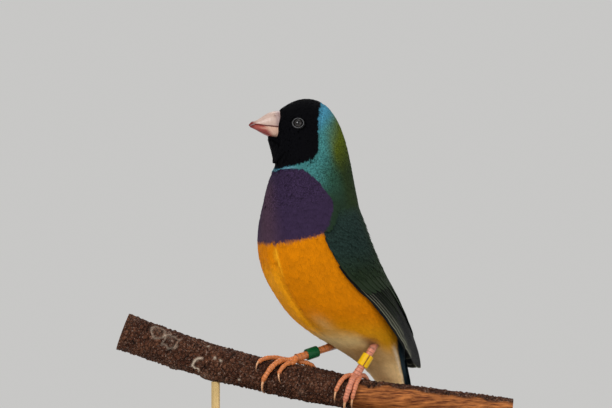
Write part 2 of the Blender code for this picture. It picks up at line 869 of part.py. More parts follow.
def build_leg_ring(name, leg, middle_share, slit_side, finish):
    """A split plastic leg ring round the shank, open along one side by a thin slit."""
    low, high, way = shank_line(leg)
    middle = low + (high - low) * middle_share
    front = unit(np.cross(way, np.array([0.0, -1.0, 0.0])))
    side = np.cross(way, front)
    steps = 24
    points, faces = [], []
    for i in range(steps + 1):
        a = math.radians(slit_side + RING_SLIT / 2 + (360.0 - RING_SLIT) * i / steps)
        spoke = math.cos(a) * front + math.sin(a) * side
        for end in (-0.5, 0.5):
            for radius in (RING_INNER, RING_OUTER):
                points.append(middle + way * RING_LENGTH * end + spoke * radius)
    for i in range(steps):
        a, b = 4 * i, 4 * (i + 1)
        faces += [(a, a + 1, b + 1, b), (a + 2, b + 2, b + 3, a + 3)]
        faces += [(a, b, b + 2, a + 2), (a + 1, a + 3, b + 3, b + 1)]
    last = 4 * steps
    faces += [(0, 2, 3, 1), (last, last + 1, last + 3, last + 2)]
    return new_object(name, points, faces, finish)


# The display stand: a flat base and two rods up to the branch

BASE_SIZE = (112.0, 74.0, 9.0)
BASE_BEVEL = 1.8
ROD_PLACES = (-36.0, 33.0)
ROD_RADIUS = 1.5


def build_base(finish):
    """A flat plate with rounded corners and an eased upper edge, standing on z = 0."""
    corner, arc = 9.0, 6
    rings = []
    for inset, up in ((0.0, 0.0), (0.0, BASE_SIZE[2] - BASE_BEVEL),
                      (BASE_BEVEL * 0.3, BASE_SIZE[2] - BASE_BEVEL * 0.3),
                      (BASE_BEVEL, BASE_SIZE[2])):
        ring = []
        for sx, sy, first in ((1, 1, 0), (-1, 1, 90), (-1, -1, 180), (1, -1, 270)):
            for k in range(arc + 1):
                a = math.radians(first + 90.0 * k / arc)
                ring.append(np.array([
                    sx * (BASE_SIZE[0] / 2 - corner) + (corner - inset) * math.cos(a),
                    sy * (BASE_SIZE[1] / 2 - corner) + (corner - inset) * math.sin(a),
                    up,
                ]))
        rings.append(ring)
    return loft("stand_base", rings, finish)


def build_rods(finish):
    """Each rod has a small collar on the base and ends just under the branch."""
    for number, x in enumerate(ROD_PLACES, 1):
        middle, radius = branch_at(x)
        top = middle[2] - radius - 0.3 - 0.55
        foot = BASE_SIZE[2] + GAP
        sides = 16
        rings = []
        for r, z in ((3.2, foot), (3.2, foot + 1.2), (2.6, foot + 1.8),
                     (ROD_RADIUS, foot + 1.8), (ROD_RADIUS, top)):
            rings.append([
                np.array([
                    x + r * math.cos(2 * math.pi * j / sides),
                    middle[1] + r * math.sin(2 * math.pi * j / sides),
                    z,
                ])
                for j in range(sides)
            ])
        loft(f"stand_rod_{number}", rings, finish)


# Putting it together

def main():
    clear_scene()
    black = material("black_plumage", (0.012, 0.012, 0.014), 0.75)
    turquoise = material("turquoise_plumage", (0.1, 0.36, 0.38), 0.7)
    orange = material("yellow_plumage", (0.75, 0.36, 0.02), 0.7)
    green = material("green_plumage", (0.03, 0.11, 0.07), 0.6)
    tail_black = material("tail_plumage", (0.015, 0.03, 0.045), 0.6)
    horn = material("bill_horn", (0.75, 0.55, 0.48), 0.35)
    eye = material("eye", (0.01, 0.008, 0.006), 0.05)
    skin = material("leg_skin", (0.55, 0.25, 0.16), 0.5)
    yellow_ring = material("yellow_plastic", (0.85, 0.6, 0.02), 0.35)
    green_ring = material("green_plastic", (0.01, 0.22, 0.12), 0.35)
    bark = material("bark", (0.09, 0.05, 0.035), 0.9)
    walnut = material("walnut", (0.08, 0.04, 0.02), 0.4)
    brass = material("brass", (0.7, 0.52, 0.25), 0.3, 1.0)

    build_head(black)
    build_eyes(eye)
    build_bill(horn)
    body_length("neck", NAPE_CUT, SHOULDER_CUT, 7, turquoise)
    build_torso(orange)
    build_wings(green)
    build_tail(tail_black)
    for side, leg in LEGS.items():
        build_shank(f"leg_{side}", leg, skin)
        build_foot(f"foot_{side}", leg, skin)
    build_leg_ring("ring_yellow", LEGS["left"], 0.42, 200.0, yellow_ring)
    build_leg_ring("ring_green", LEGS["right"], 0.37, 20.0, green_ring)
    build_branch(bark)
    build_base(walnut)
    build_rods(brass)


main()
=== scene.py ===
"""Looks for the still, life-size gouldian finch on its cut branch and display stand.

The sections follow the order in which the model is put together: the skin, the plumage over it,
wings, tail, bill, eyes, branch, legs, leg rings and stand, and then the studio. Lengths are
millimetres until a mesh is made, which is in metres.
"""

import math

import bpy
import numpy as np
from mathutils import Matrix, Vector


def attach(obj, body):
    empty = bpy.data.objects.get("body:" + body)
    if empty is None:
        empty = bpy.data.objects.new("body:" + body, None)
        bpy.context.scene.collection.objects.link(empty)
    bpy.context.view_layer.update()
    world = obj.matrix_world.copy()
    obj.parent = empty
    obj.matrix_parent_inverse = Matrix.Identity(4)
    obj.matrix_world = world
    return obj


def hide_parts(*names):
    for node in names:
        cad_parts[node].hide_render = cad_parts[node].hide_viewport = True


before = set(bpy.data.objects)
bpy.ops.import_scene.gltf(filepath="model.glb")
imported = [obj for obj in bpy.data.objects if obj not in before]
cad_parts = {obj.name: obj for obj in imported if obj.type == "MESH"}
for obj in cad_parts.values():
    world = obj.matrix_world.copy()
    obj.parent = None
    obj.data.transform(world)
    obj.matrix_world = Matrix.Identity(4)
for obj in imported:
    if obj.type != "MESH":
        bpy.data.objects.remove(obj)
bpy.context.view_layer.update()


# The skin. One smooth form stands for the flesh of head, neck, body and tail root. It lies
# inside the plumage by the depth of the feathers and bears the same markings, so that nothing
# pale shows between them.

MM = 0.001
# How far the body and the head are turned to the viewer, and how near the bird stands
BODY_TURN, HEAD_TURN, BIRD_Y = 36.0, 8.0, -1.5
BODY_STATIONS = [
    # belly forward, belly up, back forward, back up, half width, turn
    (18.4, 126.9, 14.0, 136.2, 4.4, HEAD_TURN),
    (16.6, 120.8, 7.0, 139.7, 7.9, HEAD_TURN),
    (16.2, 115.8, -1.2, 138.1, 9.5, HEAD_TURN),
    (18.0, 110.8, -7.2, 129.5, 10.6, 14.0),
    (20.1, 104.3, -10.4, 118.0, 12.6, 24.0),
    (22.0, 97.0, -12.4, 106.3, 15.4, 32.0),
    (22.5, 88.8, -15.4, 94.1, 17.4, BODY_TURN),
    (19.5, 77.2, -21.2, 81.2, 17.9, BODY_TURN),
    (11.0, 66.0, -27.6, 69.7, 16.4, BODY_TURN),
    (-3.5, 56.8, -32.9, 59.0, 12.0, BODY_TURN),
    (-17.5, 49.3, -34.4, 49.6, 7.6, BODY_TURN),
    (-27.0, 40.5, -35.4, 40.8, 5.0, BODY_TURN),
    (-32.8, 31.0, -37.2, 32.0, 3.2, BODY_TURN),
]
BODY_END = 12.0
# Depth of the plumage at places down the body
COAT_PLACES = (0.0, 0.6, 1.5, 2.6, 4.0, 6.0, 9.5, 12.0)
COAT_DEPTHS = (0.2, 0.4, 0.5, 0.6, 0.8, 0.95, 0.9, 0.6)


def curve_through(rows):
    """A function of the row number that runs smoothly through the rows (a natural cubic)."""
    rows = np.array(rows, float)
    count = len(rows)
    system, right = np.eye(count), np.zeros_like(rows)
    for i in range(1, count - 1):
        system[i, i - 1:i + 2] = 1.0, 4.0, 1.0
        right[i] = 6.0 * (rows[i - 1] - 2.0 * rows[i] + rows[i + 1])
    bend = np.linalg.solve(system, right)

    def at(place):
        place = np.asarray(place, float)
        i = np.clip(np.floor(place).astype(int), 0, count - 2)
        b = (place - i)[..., None]
        a = 1.0 - b
        curved = ((a**3 - a) * bend[i] + (b**3 - b) * bend[i + 1]) / 6.0
        return a * rows[i] + b * rows[i + 1] + curved

    return at


def turned(forward, left, up, turn):
    """Points of the bird's own frame, set in the model's frame."""
    c, s = np.cos(np.radians(turn)), np.sin(np.radians(turn))
    forward, left, up = np.broadcast_arrays(forward, left, up)
    return np.stack([-c * forward + s * left, -s * forward - c * left + BIRD_Y, up], -1)


def oval_surface(row_at):
    """The surface of a row of ovals: place down the body, angle from the belly over the left."""
    def at(place, angle):
        belly_on, belly_up, back_on, back_up, half, turn = np.moveaxis(row_at(place), -1, 0)
        c, s = np.cos(angle), np.sin(angle)
        forward = (belly_on + back_on) / 2 + c * (belly_on - back_on) / 2
        up = (belly_up + back_up) / 2 + c * (belly_up - back_up) / 2
        return turned(forward, s * half, up, turn)

    return at


def unit(vectors):
    return vectors / np.linalg.norm(vectors, axis=-1, keepdims=True)


SLOPE_STEP = 0.01


def laid_on(surface, place, angle):
    """A surface's points there, its slopes down and round the body, and the way out."""
    step = SLOPE_STEP
    down = (surface(place + step, angle) - surface(place - step, angle)) / (2 * step)
    over = (surface(place, angle + step) - surface(place, angle - step)) / (2 * step)
    return surface(place, angle), down, over, unit(np.cross(down, over))


def new_mesh(name, points, loops, sizes, finish, colours=None, maps=(), hard=None):
    """A piece from points in millimetres. loops holds the corners of the faces one after the
    other and sizes how many each face has. maps are (name, values at the points) of UV maps,
    and hard marks the points whose joining edges stay sharp."""
    mesh = bpy.data.meshes.new(name)
    mesh.vertices.add(len(points))
    mesh.vertices.foreach_set("co", (np.asarray(points) * MM).astype(np.float32).ravel())
    mesh.loops.add(len(loops))
    mesh.loops.foreach_set("vertex_index", np.asarray(loops, np.int32))
    mesh.polygons.add(len(sizes))
    starts = np.concatenate([[0], np.cumsum(sizes)[:-1]]).astype(np.int32)
    mesh.polygons.foreach_set("loop_start", starts)
    mesh.update(calc_edges=True)
    for label, values in maps:
        layer = mesh.uv_layers.new(name=label)
        layer.data.foreach_set("uv", np.asarray(values)[loops].astype(np.float32).ravel())
    if colours is not None:
        layer = mesh.color_attributes.new(name="marking", type="FLOAT_COLOR", domain="POINT")
        whole = np.concatenate([colours, np.ones((len(points), 1))], axis=1)
        layer.data.foreach_set("color", whole.astype(np.float32).ravel())
    mesh.shade_smooth()
    if hard is not None:
        ends = np.zeros(2 * len(mesh.edges), np.int32)
        mesh.edges.foreach_get("vertices", ends)
        sharp = hard[ends.reshape(-1, 2)].all(axis=1)
        mark = mesh.attributes.new("sharp_edge", "BOOLEAN", "EDGE")
        mark.data.foreach_set("value", sharp)
    made = bpy.data.objects.new(name, mesh)
    bpy.context.scene.collection.objects.link(made)
    mesh.materials.append(finish)
    return made


def tube_faces(rings, sides, caps=True):
    """Loops and sizes of a tube of rings, each end closed by a fan round one more point."""
    i, j = np.meshgrid(np.arange(rings - 1), np.arange(sides), indexing="ij")
    a, b = i * sides + j, i * sides + (j + 1) % sides
    quads = np.stack([a, b, b + sides, a + sides], -1).reshape(-1, 4)
    loops, sizes = [quads.ravel()], [np.full(len(quads), 4)]
    if caps:
        j = np.arange(sides)
        k = (j + 1) % sides
        first, last, end = rings * sides, rings * sides + 1, (rings - 1) * sides
        fans = np.concatenate([
            np.stack([np.full(sides, first), k, j], -1),
            np.stack([np.full(sides, last), end + j, end + k], -1),
        ])
        loops.append(fans.ravel())
        sizes.append(np.full(len(fans), 3))
    return np.concatenate(loops), np.concatenate(sizes)


def turned_over(loops, sizes):
    return np.concatenate([face[::-1] for face in np.split(loops, np.cumsum(sizes)[:-1])])


def tube(name, rings, finish, flip=False, colours=None, maps=()):
    """A closed piece through rings of points, an array of rings, points round each, xyz."""
    rings = np.asarray(rings, float)
    count, sides = rings.shape[:2]
    points = np.concatenate([rings.reshape(-1, 3), [rings[0].mean(0), rings[-1].mean(0)]])
    loops, sizes = tube_faces(count, sides)
    if flip:
        loops = turned_over(loops, sizes)
    return new_mesh(name, points, loops, sizes, finish, colours, maps)


def paint(red, green, blue):
    """A named colour, given as it looks on a screen, in the light values that Blender mixes."""
    share = np.array([red, green, blue]) / 255.0
    return np.where(share <= 0.04045, share / 12.92, ((share + 0.055) / 1.055) ** 2.4)


def fade(low, high, value):
    """Nothing at low and full at high, eased at both ends. low may be the greater one."""
    share = np.clip((value - low) / (high - low), 0.0, 1.0)
    return share * share * (3 - 2 * share)


def blend(first, second, share):
    return first + (second - first) * np.asarray(share)[..., None]


MASK_BLACK = paint(8, 8, 11)
COLLAR_BLUE = paint(66, 132, 158)
COLLAR_LIGHT = paint(112, 166, 184)
NECK_TURQUOISE = paint(60, 118, 118)
NECK_TEAL = paint(42, 76, 62)
SHOULDER_TEAL = paint(33, 50, 36)
NAPE_OLIVE = paint(76, 86, 18)
BACK_GREEN = paint(36, 50, 26)
PATCH_PURPLE = paint(50, 37, 62)
PATCH_PLUM = paint(68, 49, 64)
BELLY_ORANGE = paint(198, 116, 0)
BELLY_YELLOW = paint(196, 134, 12)
VENT_CREAM = paint(208, 182, 128)
VENT_BUFF = paint(184, 146, 94)
VENT_PALE = paint(232, 196, 140)
VENT_WHITE = paint(222, 210, 186)
# Painted shadow round the top of the legs, under the thigh's feathers
THIGH_SHADOW = paint(112, 68, 42)
RUMP_BLUE = paint(20, 38, 46)
# Where the markings end down the body, at angles from the throat's or belly's midline
MASK_EDGE = ((0, 20, 37, 62, 79, 90, 100, 112, 125, 141, 164, 180),
             (2.13, 2.245, 2.435, 2.84, 3.06, 3.14, 3.0, 2.46, 2.12, 1.95, 1.87, 1.86))
COLLAR_END = ((0, 12, 37, 56, 73, 79, 86, 93, 100),
              (2.17, 2.25, 2.485, 2.86, 3.24, 3.54, 3.92, 4.55, 5.2))
BLUE_END = ((0, 90, 100, 110, 119, 127, 142, 155, 180),
            (3.70, 3.70, 3.58, 3.34, 3.04, 2.8, 2.6, 2.44, 2.36))
PATCH_END = ((0, 20, 40, 69, 80, 180), (5.9, 5.9, 5.84, 5.74, 5.7, 5.7))
YELLOW_END = ((0, 10, 29, 42, 58, 66, 72, 80, 92, 99, 180),
              (8.62, 8.7, 8.75, 8.74, 8.86, 9.06, 9.26, 9.46, 9.52, 9.45, 9.4))
# How far round they reach, at places down the body, and the line of the belly's parting
PATCH_SIDE = ((2.2, 3.5, 3.9, 4.5, 4.85, 5.24, 5.62, 5.8), (75, 79, 86, 94, 94, 86, 76, 70))
UPPER_SIDE = ((5.7, 6.5, 8.0, 8.8, 9.5), (70.0, 83.0, 108.0, 118.0, 106.0))
PARTING = ((5.8, 6.9, 7.9, 8.8), (10.0, 11.5, 12.5, 8.0))
COLLAR_SIDE = 75
# Painted highlight beside the belly's parting
PARTING_HIGHLIGHT = paint(240, 166, 26)
# Soft spots: place and width down the body, angle and width round it, and strength
THIGH = (8.98, 72.0)
PALE_SPOT = (8.4, 0.3, 30.0, 9.0, 0.35)
# and the painted shadow round the top of the thigh
THIGH_SHADOW_SPOT = (THIGH[0] + 0.19, 0.24, THIGH[1] - 4.0, 11.0, 0.9)
THIGH_BULGE = (THIGH[0], 0.3, THIGH[1], 12.0, 1.2)
# Soft limits, each from where there is nothing of it to where it is full: down the body
YELLOW_FROM, YELLOW_SLANT, YELLOW_LEVEL = (7.9, 8.9), 0.004, 40
BUFF_FROM, PALE_FROM, VENT_FROM = (8.9, 9.6), (9.8, 10.6), (-0.3, 0.4)
# where the painted shade in the parting's crease lies and gets deeper
PARTING_PLACES, CREASE_SHADE_DEEPER = ((5.95, 6.2), (9.0, 8.4)), (6.4, 7.4)
# and where the painted light beside the parting lies, as a band and a line
LIT_BAND_PLACES, HIGHLIGHT_PLACES = ((6.3, 7.0), (9.0, 8.5)), ((5.95, 6.1), (7.1, 6.5))
RUMP_FROM, RIM_FROM = (8.0, 8.5), (9.2, 9.6)
BACK_FROM, SHOULDER_FROM, NAPE_BLUE_TO = (3.1, 4.2), (3.8, 5.0), (2.7, 2.1)
BLUE_EDGE, PATCH_EDGE = (0.6, -0.6), (-0.06, 0.04)
PATCH_RIM_PLACES, PLUM_FROM = ((4.6, 3.2), (2.8, 3.2)), (2.4, 3.6)
# and round it, in degrees, where a line has its middle and its width
# first the soft edges of the painted light beside the parting
LIT_BAND_NEAR, LIT_BAND_FAR = (-0.5, -2.5), (-30.0, -22.0)
UPPER_EDGE, NAPE_SIDE, PATCH_RIM = (0.0, 6.0), (104, 126), (15.0, 2.0)
PLUM_SIDE, THROAT_SIDE = (34.0, 4.0), (30, 75)
# the parting's painted highlight line and its crease's painted shade, then the pale rim
HIGHLIGHT_LINE, CREASE_LINE, RIM_LINE = (3.6, 2.2), (0.6, 1.8), (-4.0, 4.0)


def within(limits, value):
    """Full between two soft limits, and nothing outside them."""
    return fade(*limits[0], value) * fade(*limits[1], value)


def bell(across, down=0.0):
    """Full in the middle and soon nothing, at distances counted in its own widths."""
    return np.exp(-np.hypot(across, down) ** 2)


def soft_spot(spot, place, side):
    middle, length, angle, width, strength = spot
    return strength * bell((place - middle) / length, (side - angle) / width)


def degrees_round(angle):
    """Degrees from the belly's midline, up to 180 over the left and to -180 over the right."""
    return np.degrees(np.arctan2(np.sin(angle), np.cos(angle)))


def belly_colour(place, turn):
    """Orange to yellow, paler vent, painted light and shade by parting and thigh, under the back.
    """
    side = np.abs(turn)
    colour = blend(BELLY_ORANGE, BELLY_YELLOW,
                   fade(*YELLOW_FROM, place + YELLOW_SLANT * (YELLOW_LEVEL - side)))
    colour = blend(colour, VENT_CREAM, soft_spot(PALE_SPOT, place, side))
    vent = blend(VENT_CREAM, VENT_BUFF, fade(*BUFF_FROM, place))
    vent = blend(vent, VENT_PALE, fade(*PALE_FROM, place))
    colour = blend(colour, vent, fade(*VENT_FROM, place - np.interp(side, *YELLOW_END)))
    apart = turn - np.interp(place, *PARTING)
    # Painted light beside the parting: a lighter golden band on one side and a highlight line on
    # the other
    band = fade(*LIT_BAND_NEAR, apart) * fade(*LIT_BAND_FAR, turn) * within(LIT_BAND_PLACES, place)
    line = bell((apart - HIGHLIGHT_LINE[0]) / HIGHLIGHT_LINE[1]) * within(HIGHLIGHT_PLACES, place)
    colour = blend(colour, PARTING_HIGHLIGHT, 0.5 * band + line)
    # Painted shade in the parting's crease
    crease_shade = (0.2 + 0.4 * fade(*CREASE_SHADE_DEEPER, place)) * within(PARTING_PLACES, place)
    crease_shade = crease_shade * bell((apart - CREASE_LINE[0]) / CREASE_LINE[1])
    colour = colour * (1.0 - crease_shade)[..., None]
    # Painted shadow round the thigh, where the leg goes in
    colour = blend(colour, THIGH_SHADOW, soft_spot(THIGH_SHADOW_SPOT, place, side))
    past_edge = side - np.interp(place, *UPPER_SIDE)
    pale_rim = bell((past_edge - RIM_LINE[0]) / RIM_LINE[1]) * fade(*RIM_FROM, place)
    colour = blend(colour, VENT_WHITE, 0.6 * pale_rim)
    upper = blend(BACK_GREEN, RUMP_BLUE, fade(*RUMP_FROM, place))
    return blend(colour, upper, fade(*UPPER_EDGE, past_edge))


def neck_colour(place, side, past_patch):
    """Blue behind the mask, turquoise round the purple patch, and olive down the nape."""
    nape = blend(NAPE_OLIVE, BACK_GREEN, fade(*BACK_FROM, place))
    teal = blend(NECK_TEAL, SHOULDER_TEAL, fade(*SHOULDER_FROM, place))
    colour = blend(teal, nape, fade(*NAPE_SIDE, side))
    colour = blend(colour, NECK_TURQUOISE,
                   fade(*BLUE_EDGE, place - np.interp(side, *BLUE_END)))
    rim = fade(*PATCH_RIM, past_patch) * within(PATCH_RIM_PLACES, place)
    colour = blend(colour, NECK_TURQUOISE, rim * 0.9)
    return blend(colour, COLLAR_BLUE, fade(*NAPE_BLUE_TO, place))


def markings(place, angle):
    """The plumage's colours on the body, alike on both sides but for the belly's parting."""
    turn = degrees_round(angle)
    side = np.abs(turn)
    past_patch = side - np.interp(place, *PATCH_SIDE)
    collar_end = np.interp(side, *COLLAR_END)
    patch = (place > collar_end) & (past_patch < 0)
    purple = blend(PATCH_PURPLE, PATCH_PLUM, fade(*PLUM_SIDE, side) * fade(*PLUM_FROM, place))
    colour = np.where(patch[..., None], purple, neck_colour(place, side, past_patch))
    colour = blend(colour, belly_colour(place, turn),
                   fade(*PATCH_EDGE, place - np.interp(side, *PATCH_END)))
    past_mask = place - np.interp(side, *MASK_EDGE)
    collar = (past_mask > 0) & (place <= collar_end) & (side < COLLAR_SIDE)
    throat_blue = blend(COLLAR_BLUE, NECK_TURQUOISE, fade(*THROAT_SIDE, side))
    colour = np.where(collar[..., None], throat_blue, colour)
    return np.where((past_mask <= 0)[..., None], MASK_BLACK, colour)


def node(tree, kind, inputs=None, **settings):
    """A shader node with its settings, and its inputs set by number or by link."""
    made = tree.nodes.new(kind)
    for key, value in settings.items():
        setattr(made, key, value)
    for key, value in (inputs or {}).items():
        if isinstance(value, bpy.types.NodeSocket):
            tree.links.new(value, made.inputs[key])
        else:
            made.inputs[key].default_value = value
    return made


def new_group(name, ins, outs):
    """An empty shader node group with its named sockets, and its two ends."""
    tree = bpy.data.node_groups.new(name, "ShaderNodeTree")
    for label, kind, value in ins:
        socket = tree.interface.new_socket(label, in_out="INPUT", socket_type=kind)
        socket.default_value = value
    for label, kind in outs:
        tree.interface.new_socket(label, in_out="OUTPUT", socket_type=kind)
    return tree, tree.nodes.new("NodeGroupInput"), tree.nodes.new("NodeGroupOutput")


def ranged(tree, value, low, high, begin=0.0, end=1.0):
    """A value's range from begin to end, moved to another from low to high."""
    made = node(tree, "ShaderNodeMapRange", {
        "Value": value, "From Min": begin, "From Max": end, "To Min": low, "To Max": high})
    return made.outputs[0]


def placed_noise(tree, vector, size, detail=2.0, roughness=0.5, distortion=0.0):
    return node(tree, "ShaderNodeTexNoise", {
        "Vector": vector, "Scale": size, "Detail": detail, "Roughness": roughness,
        "Distortion": distortion})


def embossed(tree, shader, height, strength, distance):
    """Relief on a finish, from a height that changes over the surface."""
    bump = node(tree, "ShaderNodeBump", {
        "Height": height, "Strength": strength, "Distance": distance})
    tree.links.new(bump.outputs[0], shader.inputs["Normal"])


def new_material(name, roughness, **constants):
    """A material with its own Principled BSDF, whose plain numbers sit on its sockets."""
    made = bpy.data.materials.new(name)
    made.use_nodes = True
    tree = made.node_tree
    shader = tree.nodes["Principled BSDF"]
    shader.inputs["Roughness"].default_value = roughness
    for key, value in constants.items():
        shader.inputs[key.replace("_", " ")].default_value = value
    return made, tree, shader


# Mottling that several finishes use: soft patches a few millimetres across.
mottle_tree, mottle_in, mottle_out = new_group(
    "soft mottling",
    [("Size", "NodeSocketFloat", 300.0), ("Low", "NodeSocketFloat", 0.9),
     ("High", "NodeSocketFloat", 1.1)],
    [("Factor", "NodeSocketFloat"), ("Raw", "NodeSocketFloat")],
)
place_node = node(mottle_tree, "ShaderNodeTexCoord")
mottle_noise = placed_noise(mottle_tree, place_node.outputs["Object"],
                            mottle_in.outputs["Size"], 4.0, 0.6).outputs["Fac"]
mottle_factor = ranged(mottle_tree, mottle_noise, mottle_in.outputs["Low"],
                       mottle_in.outputs["High"], 0.3, 0.7)
mottle_tree.links.new(mottle_factor, mottle_out.inputs["Factor"])
mottle_tree.links.new(mottle_noise, mottle_out.inputs["Raw"])


def mottling(tree, size, low, high):
    return node(tree, "ShaderNodeGroup", {"Size": size, "Low": low, "High": high},
                node_tree=mottle_tree)


def scaled_colour(tree, colour, factor):
    """A colour made lighter or darker by a factor that changes over the surface."""
    made = node(tree, "ShaderNodeVectorMath", {0: colour, 1: (1.0, 1.0, 1.0)},
                operation="MULTIPLY")
    tree.links.new(factor, made.inputs[1])
    return made.outputs[0]


def marked_finish(name, roughness, size, shades, relief=None, matt=None, **constants):
    """A finish in the mesh's own marking, mottled between two shades. It may have relief, as
    strength and distance, and a sheen that changes between two roughnesses."""
    made, tree, shader = new_material(name, roughness, **constants)
    mark = node(tree, "ShaderNodeAttribute", attribute_name="marking")
    mottle = mottling(tree, size, *shades)
    tree.links.new(scaled_colour(tree, mark.outputs["Color"], mottle.outputs["Factor"]),
                   shader.inputs["Base Color"])
    if matt:
        tree.links.new(ranged(tree, mottle.outputs["Raw"], *matt), shader.inputs["Roughness"])
    if relief:
        embossed(tree, shader, mottle.outputs["Raw"], *relief)
    return made


skin_finish = marked_finish("skin_under_plumage", 0.9, 900.0, (0.55, 0.8), (0.4, 0.0002),
                            Specular_IOR_Level=0.02)

# The groove of the parting with the swell beside it, the throat's fold and the belly's tuck
PARTING_DEPTH, PARTING_WIDTH = 0.8, 3.2
SWELL_SHARE, SWELL_ASIDE, SWELL_WIDTH = 0.45, 8.0, 5.0
GROOVE_PLACES = ((5.85, 6.3), (9.0, 8.4))
FOLD_PLACES, FOLD_SIDE = ((1.5, 1.8), (2.26, 2.14)), (62.0, 28.0)
CHEEK_SWELL, CHEEK_PLACE, CHEEK_WIDTH = 0.3, 1.45, 0.14
BELLY_TUCK, TUCK_PLACE, TUCK_WIDTH, TUCK_SIDE = 1.2, 7.5, 0.7, (70.0, 25.0)
plain_body = oval_surface(curve_through(BODY_STATIONS))


def body_surface(place, angle):
    """The body's outer form, with the belly's parting and the throat's fold pressed in and
    the thighs standing out."""
    turn = degrees_round(angle)
    side = np.abs(turn)
    apart = turn - np.interp(place, *PARTING)
    groove = bell(apart / PARTING_WIDTH) - SWELL_SHARE * bell((apart + SWELL_ASIDE) / SWELL_WIDTH)
    fold = within(FOLD_PLACES, place) - CHEEK_SWELL * bell((place - CHEEK_PLACE) / CHEEK_WIDTH)
    inward = PARTING_DEPTH * groove * within(GROOVE_PLACES, place) + fold * fade(*FOLD_SIDE, side)
    inward = inward - soft_spot(THIGH_BULGE, place, side)
    inward = inward + BELLY_TUCK * bell((place - TUCK_PLACE) / TUCK_WIDTH) * fade(
        *TUCK_SIDE, side)
    here, far = plain_body(place, angle), plain_body(place, angle + math.pi)
    return here + unit(far - here) * inward[..., None]


# The face behind the bill: where it ends forward, and the line of the chin as (forward, up)
BILL_ROOT, BILL_TUCK = 14.3, 0.1
JAW_REACH, JAW_HEIGHTS = 0.8, (134.5, 130.0)
CHIN_LINE = ((14.3, 16.6, 18.8, 27.0), (125.5, 126.5, 127.15, 130.5))
CHIN_FOLD, THROAT_UP = 1.3, 125.0


def head_frame(points):
    """forward, left and up of points in the head's own frame."""
    c, s = math.cos(math.radians(HEAD_TURN)), math.sin(math.radians(HEAD_TURN))
    x, y = points[..., 0], points[..., 1] - BIRD_Y
    return -c * x - s * y, s * x - c * y, points[..., 2]


def bill_root(up):
    """How far forward the face reaches at a height: further under the cutting edge."""
    return BILL_ROOT + JAW_REACH * fade(*JAW_HEIGHTS, up)


def behind_bill(points):
    """Points of the head, with the face kept behind the bill's root above the chin."""
    forward, left, up = head_frame(points)
    over = up - np.interp(forward, *CHIN_LINE)
    clear = (over > 0.0) & (up > THROAT_UP) & (forward > bill_root(up) - BILL_TUCK)
    back = np.clip(over / CHIN_FOLD, 0.0, 1.0)
    forward = forward + (bill_root(up) - BILL_TUCK - forward) * back
    up = np.where(over < CHIN_FOLD, np.interp(forward, *CHIN_LINE), up)
    return np.where(clear[..., None], turned(forward, left, up, HEAD_TURN), points)


HEAD_END, HEAD_ROWS, BODY_ROWS, SKIN_COLUMNS = 3, 50, 110, 120
# An unwrap is drawn in by this much, so that it keeps a margin round it
MAP_SHARE, MAP_MARGIN = 0.96, 0.02


def build_skin():
    places = np.concatenate([np.linspace(0, HEAD_END, HEAD_ROWS)[:-1],
                             np.linspace(HEAD_END, BODY_END, BODY_ROWS)])
    angles = np.linspace(0, 2 * math.pi, SKIN_COLUMNS, endpoint=False)
    place, angle = np.meshgrid(places, angles, indexing="ij")
    here, _, _, out = laid_on(body_surface, place, angle)
    depth = np.interp(place, COAT_PLACES, COAT_DEPTHS)[..., None]
    rings = behind_bill(here - depth * out)
    colours = markings(place, angle).reshape(-1, 3)
    colours = np.concatenate([colours, [MASK_BLACK, VENT_CREAM]])
    unwrap = np.stack([angle / (2 * math.pi), place / BODY_END], -1).reshape(-1, 2)
    unwrap = np.concatenate([unwrap, [[0.5, 0.0], [0.5, 1.0]]]) * MAP_SHARE + MAP_MARGIN
    skin = tube("skin", rings, skin_finish, flip=True, colours=colours,
                maps=[("SkinMap", unwrap)])
    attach(skin, "root")
    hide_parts("head", "neck", "torso")


build_skin()


# The plumage of head, neck and body. Small contour feathers grow from the skin in staggered
# rows and lie down the body, each over the roots of the next: velvety and tiny on the mask,
# longer and looser towards the belly and the vent. Each is a thin crowned vane with a frayed tip.

draw = np.random.default_rng(7)
# How wide a feather's patch of the baked picture is
PATCH = 0.003


def math_node(tree, operation, first, second=0.0, clamp=False):
    made = node(tree, "ShaderNodeMath", {0: first, 1: second}, operation=operation)
    made.use_clamp = clamp
    return made.outputs[0]


# A group that draws a vane's barbs: fine slanting lines on both sides of the shaft
barb_tree, barb_in, barb_out = new_group(
    "feather barbs",
    [("Spacing", "NodeSocketFloat", 0.22), ("Shaft", "NodeSocketFloat", 0.05)],
    [("Lines", "NodeSocketFloat"), ("Shaft", "NodeSocketFloat"),
     ("Strands", "NodeSocketFloat")],
)
vane_map = node(barb_tree, "ShaderNodeUVMap", uv_map="Vane")
vane_parts = node(barb_tree, "ShaderNodeSeparateXYZ", {0: vane_map.outputs[0]})
vane_off = math_node(barb_tree, "ABSOLUTE", vane_parts.outputs[0])
slant = math_node(barb_tree, "SUBTRACT", vane_parts.outputs[1],
                  math_node(barb_tree, "MULTIPLY", vane_off, 0.9))
wander = placed_noise(barb_tree, vane_map.outputs[0], 2.2).outputs["Fac"]
slant = math_node(barb_tree, "ADD", slant, math_node(barb_tree, "MULTIPLY", wander, 0.5))
turns = math_node(barb_tree, "DIVIDE", slant, barb_in.outputs["Spacing"])
wave = math_node(barb_tree, "SINE", math_node(barb_tree, "MULTIPLY", turns, 2 * math.pi))
wave = math_node(barb_tree, "ADD", math_node(barb_tree, "MULTIPLY", wave, 0.5), 0.5)
barb_tree.links.new(wave, barb_out.inputs["Lines"])
strand_map = node(barb_tree, "ShaderNodeMapping", {
    0: vane_map.outputs[0], "Scale": (4.0, 0.5, 1.0)})
strand_noise = placed_noise(barb_tree, strand_map.outputs[0], 1.0, 3.0, 0.7)
barb_tree.links.new(strand_noise.outputs["Fac"], barb_out.inputs["Strands"])
shaft_line = ranged(barb_tree, vane_off, 0.0, 1.0, barb_in.outputs["Shaft"], 0.0)
barb_tree.links.new(shaft_line, barb_out.inputs["Shaft"])


SHAFT_PALER = 0.25


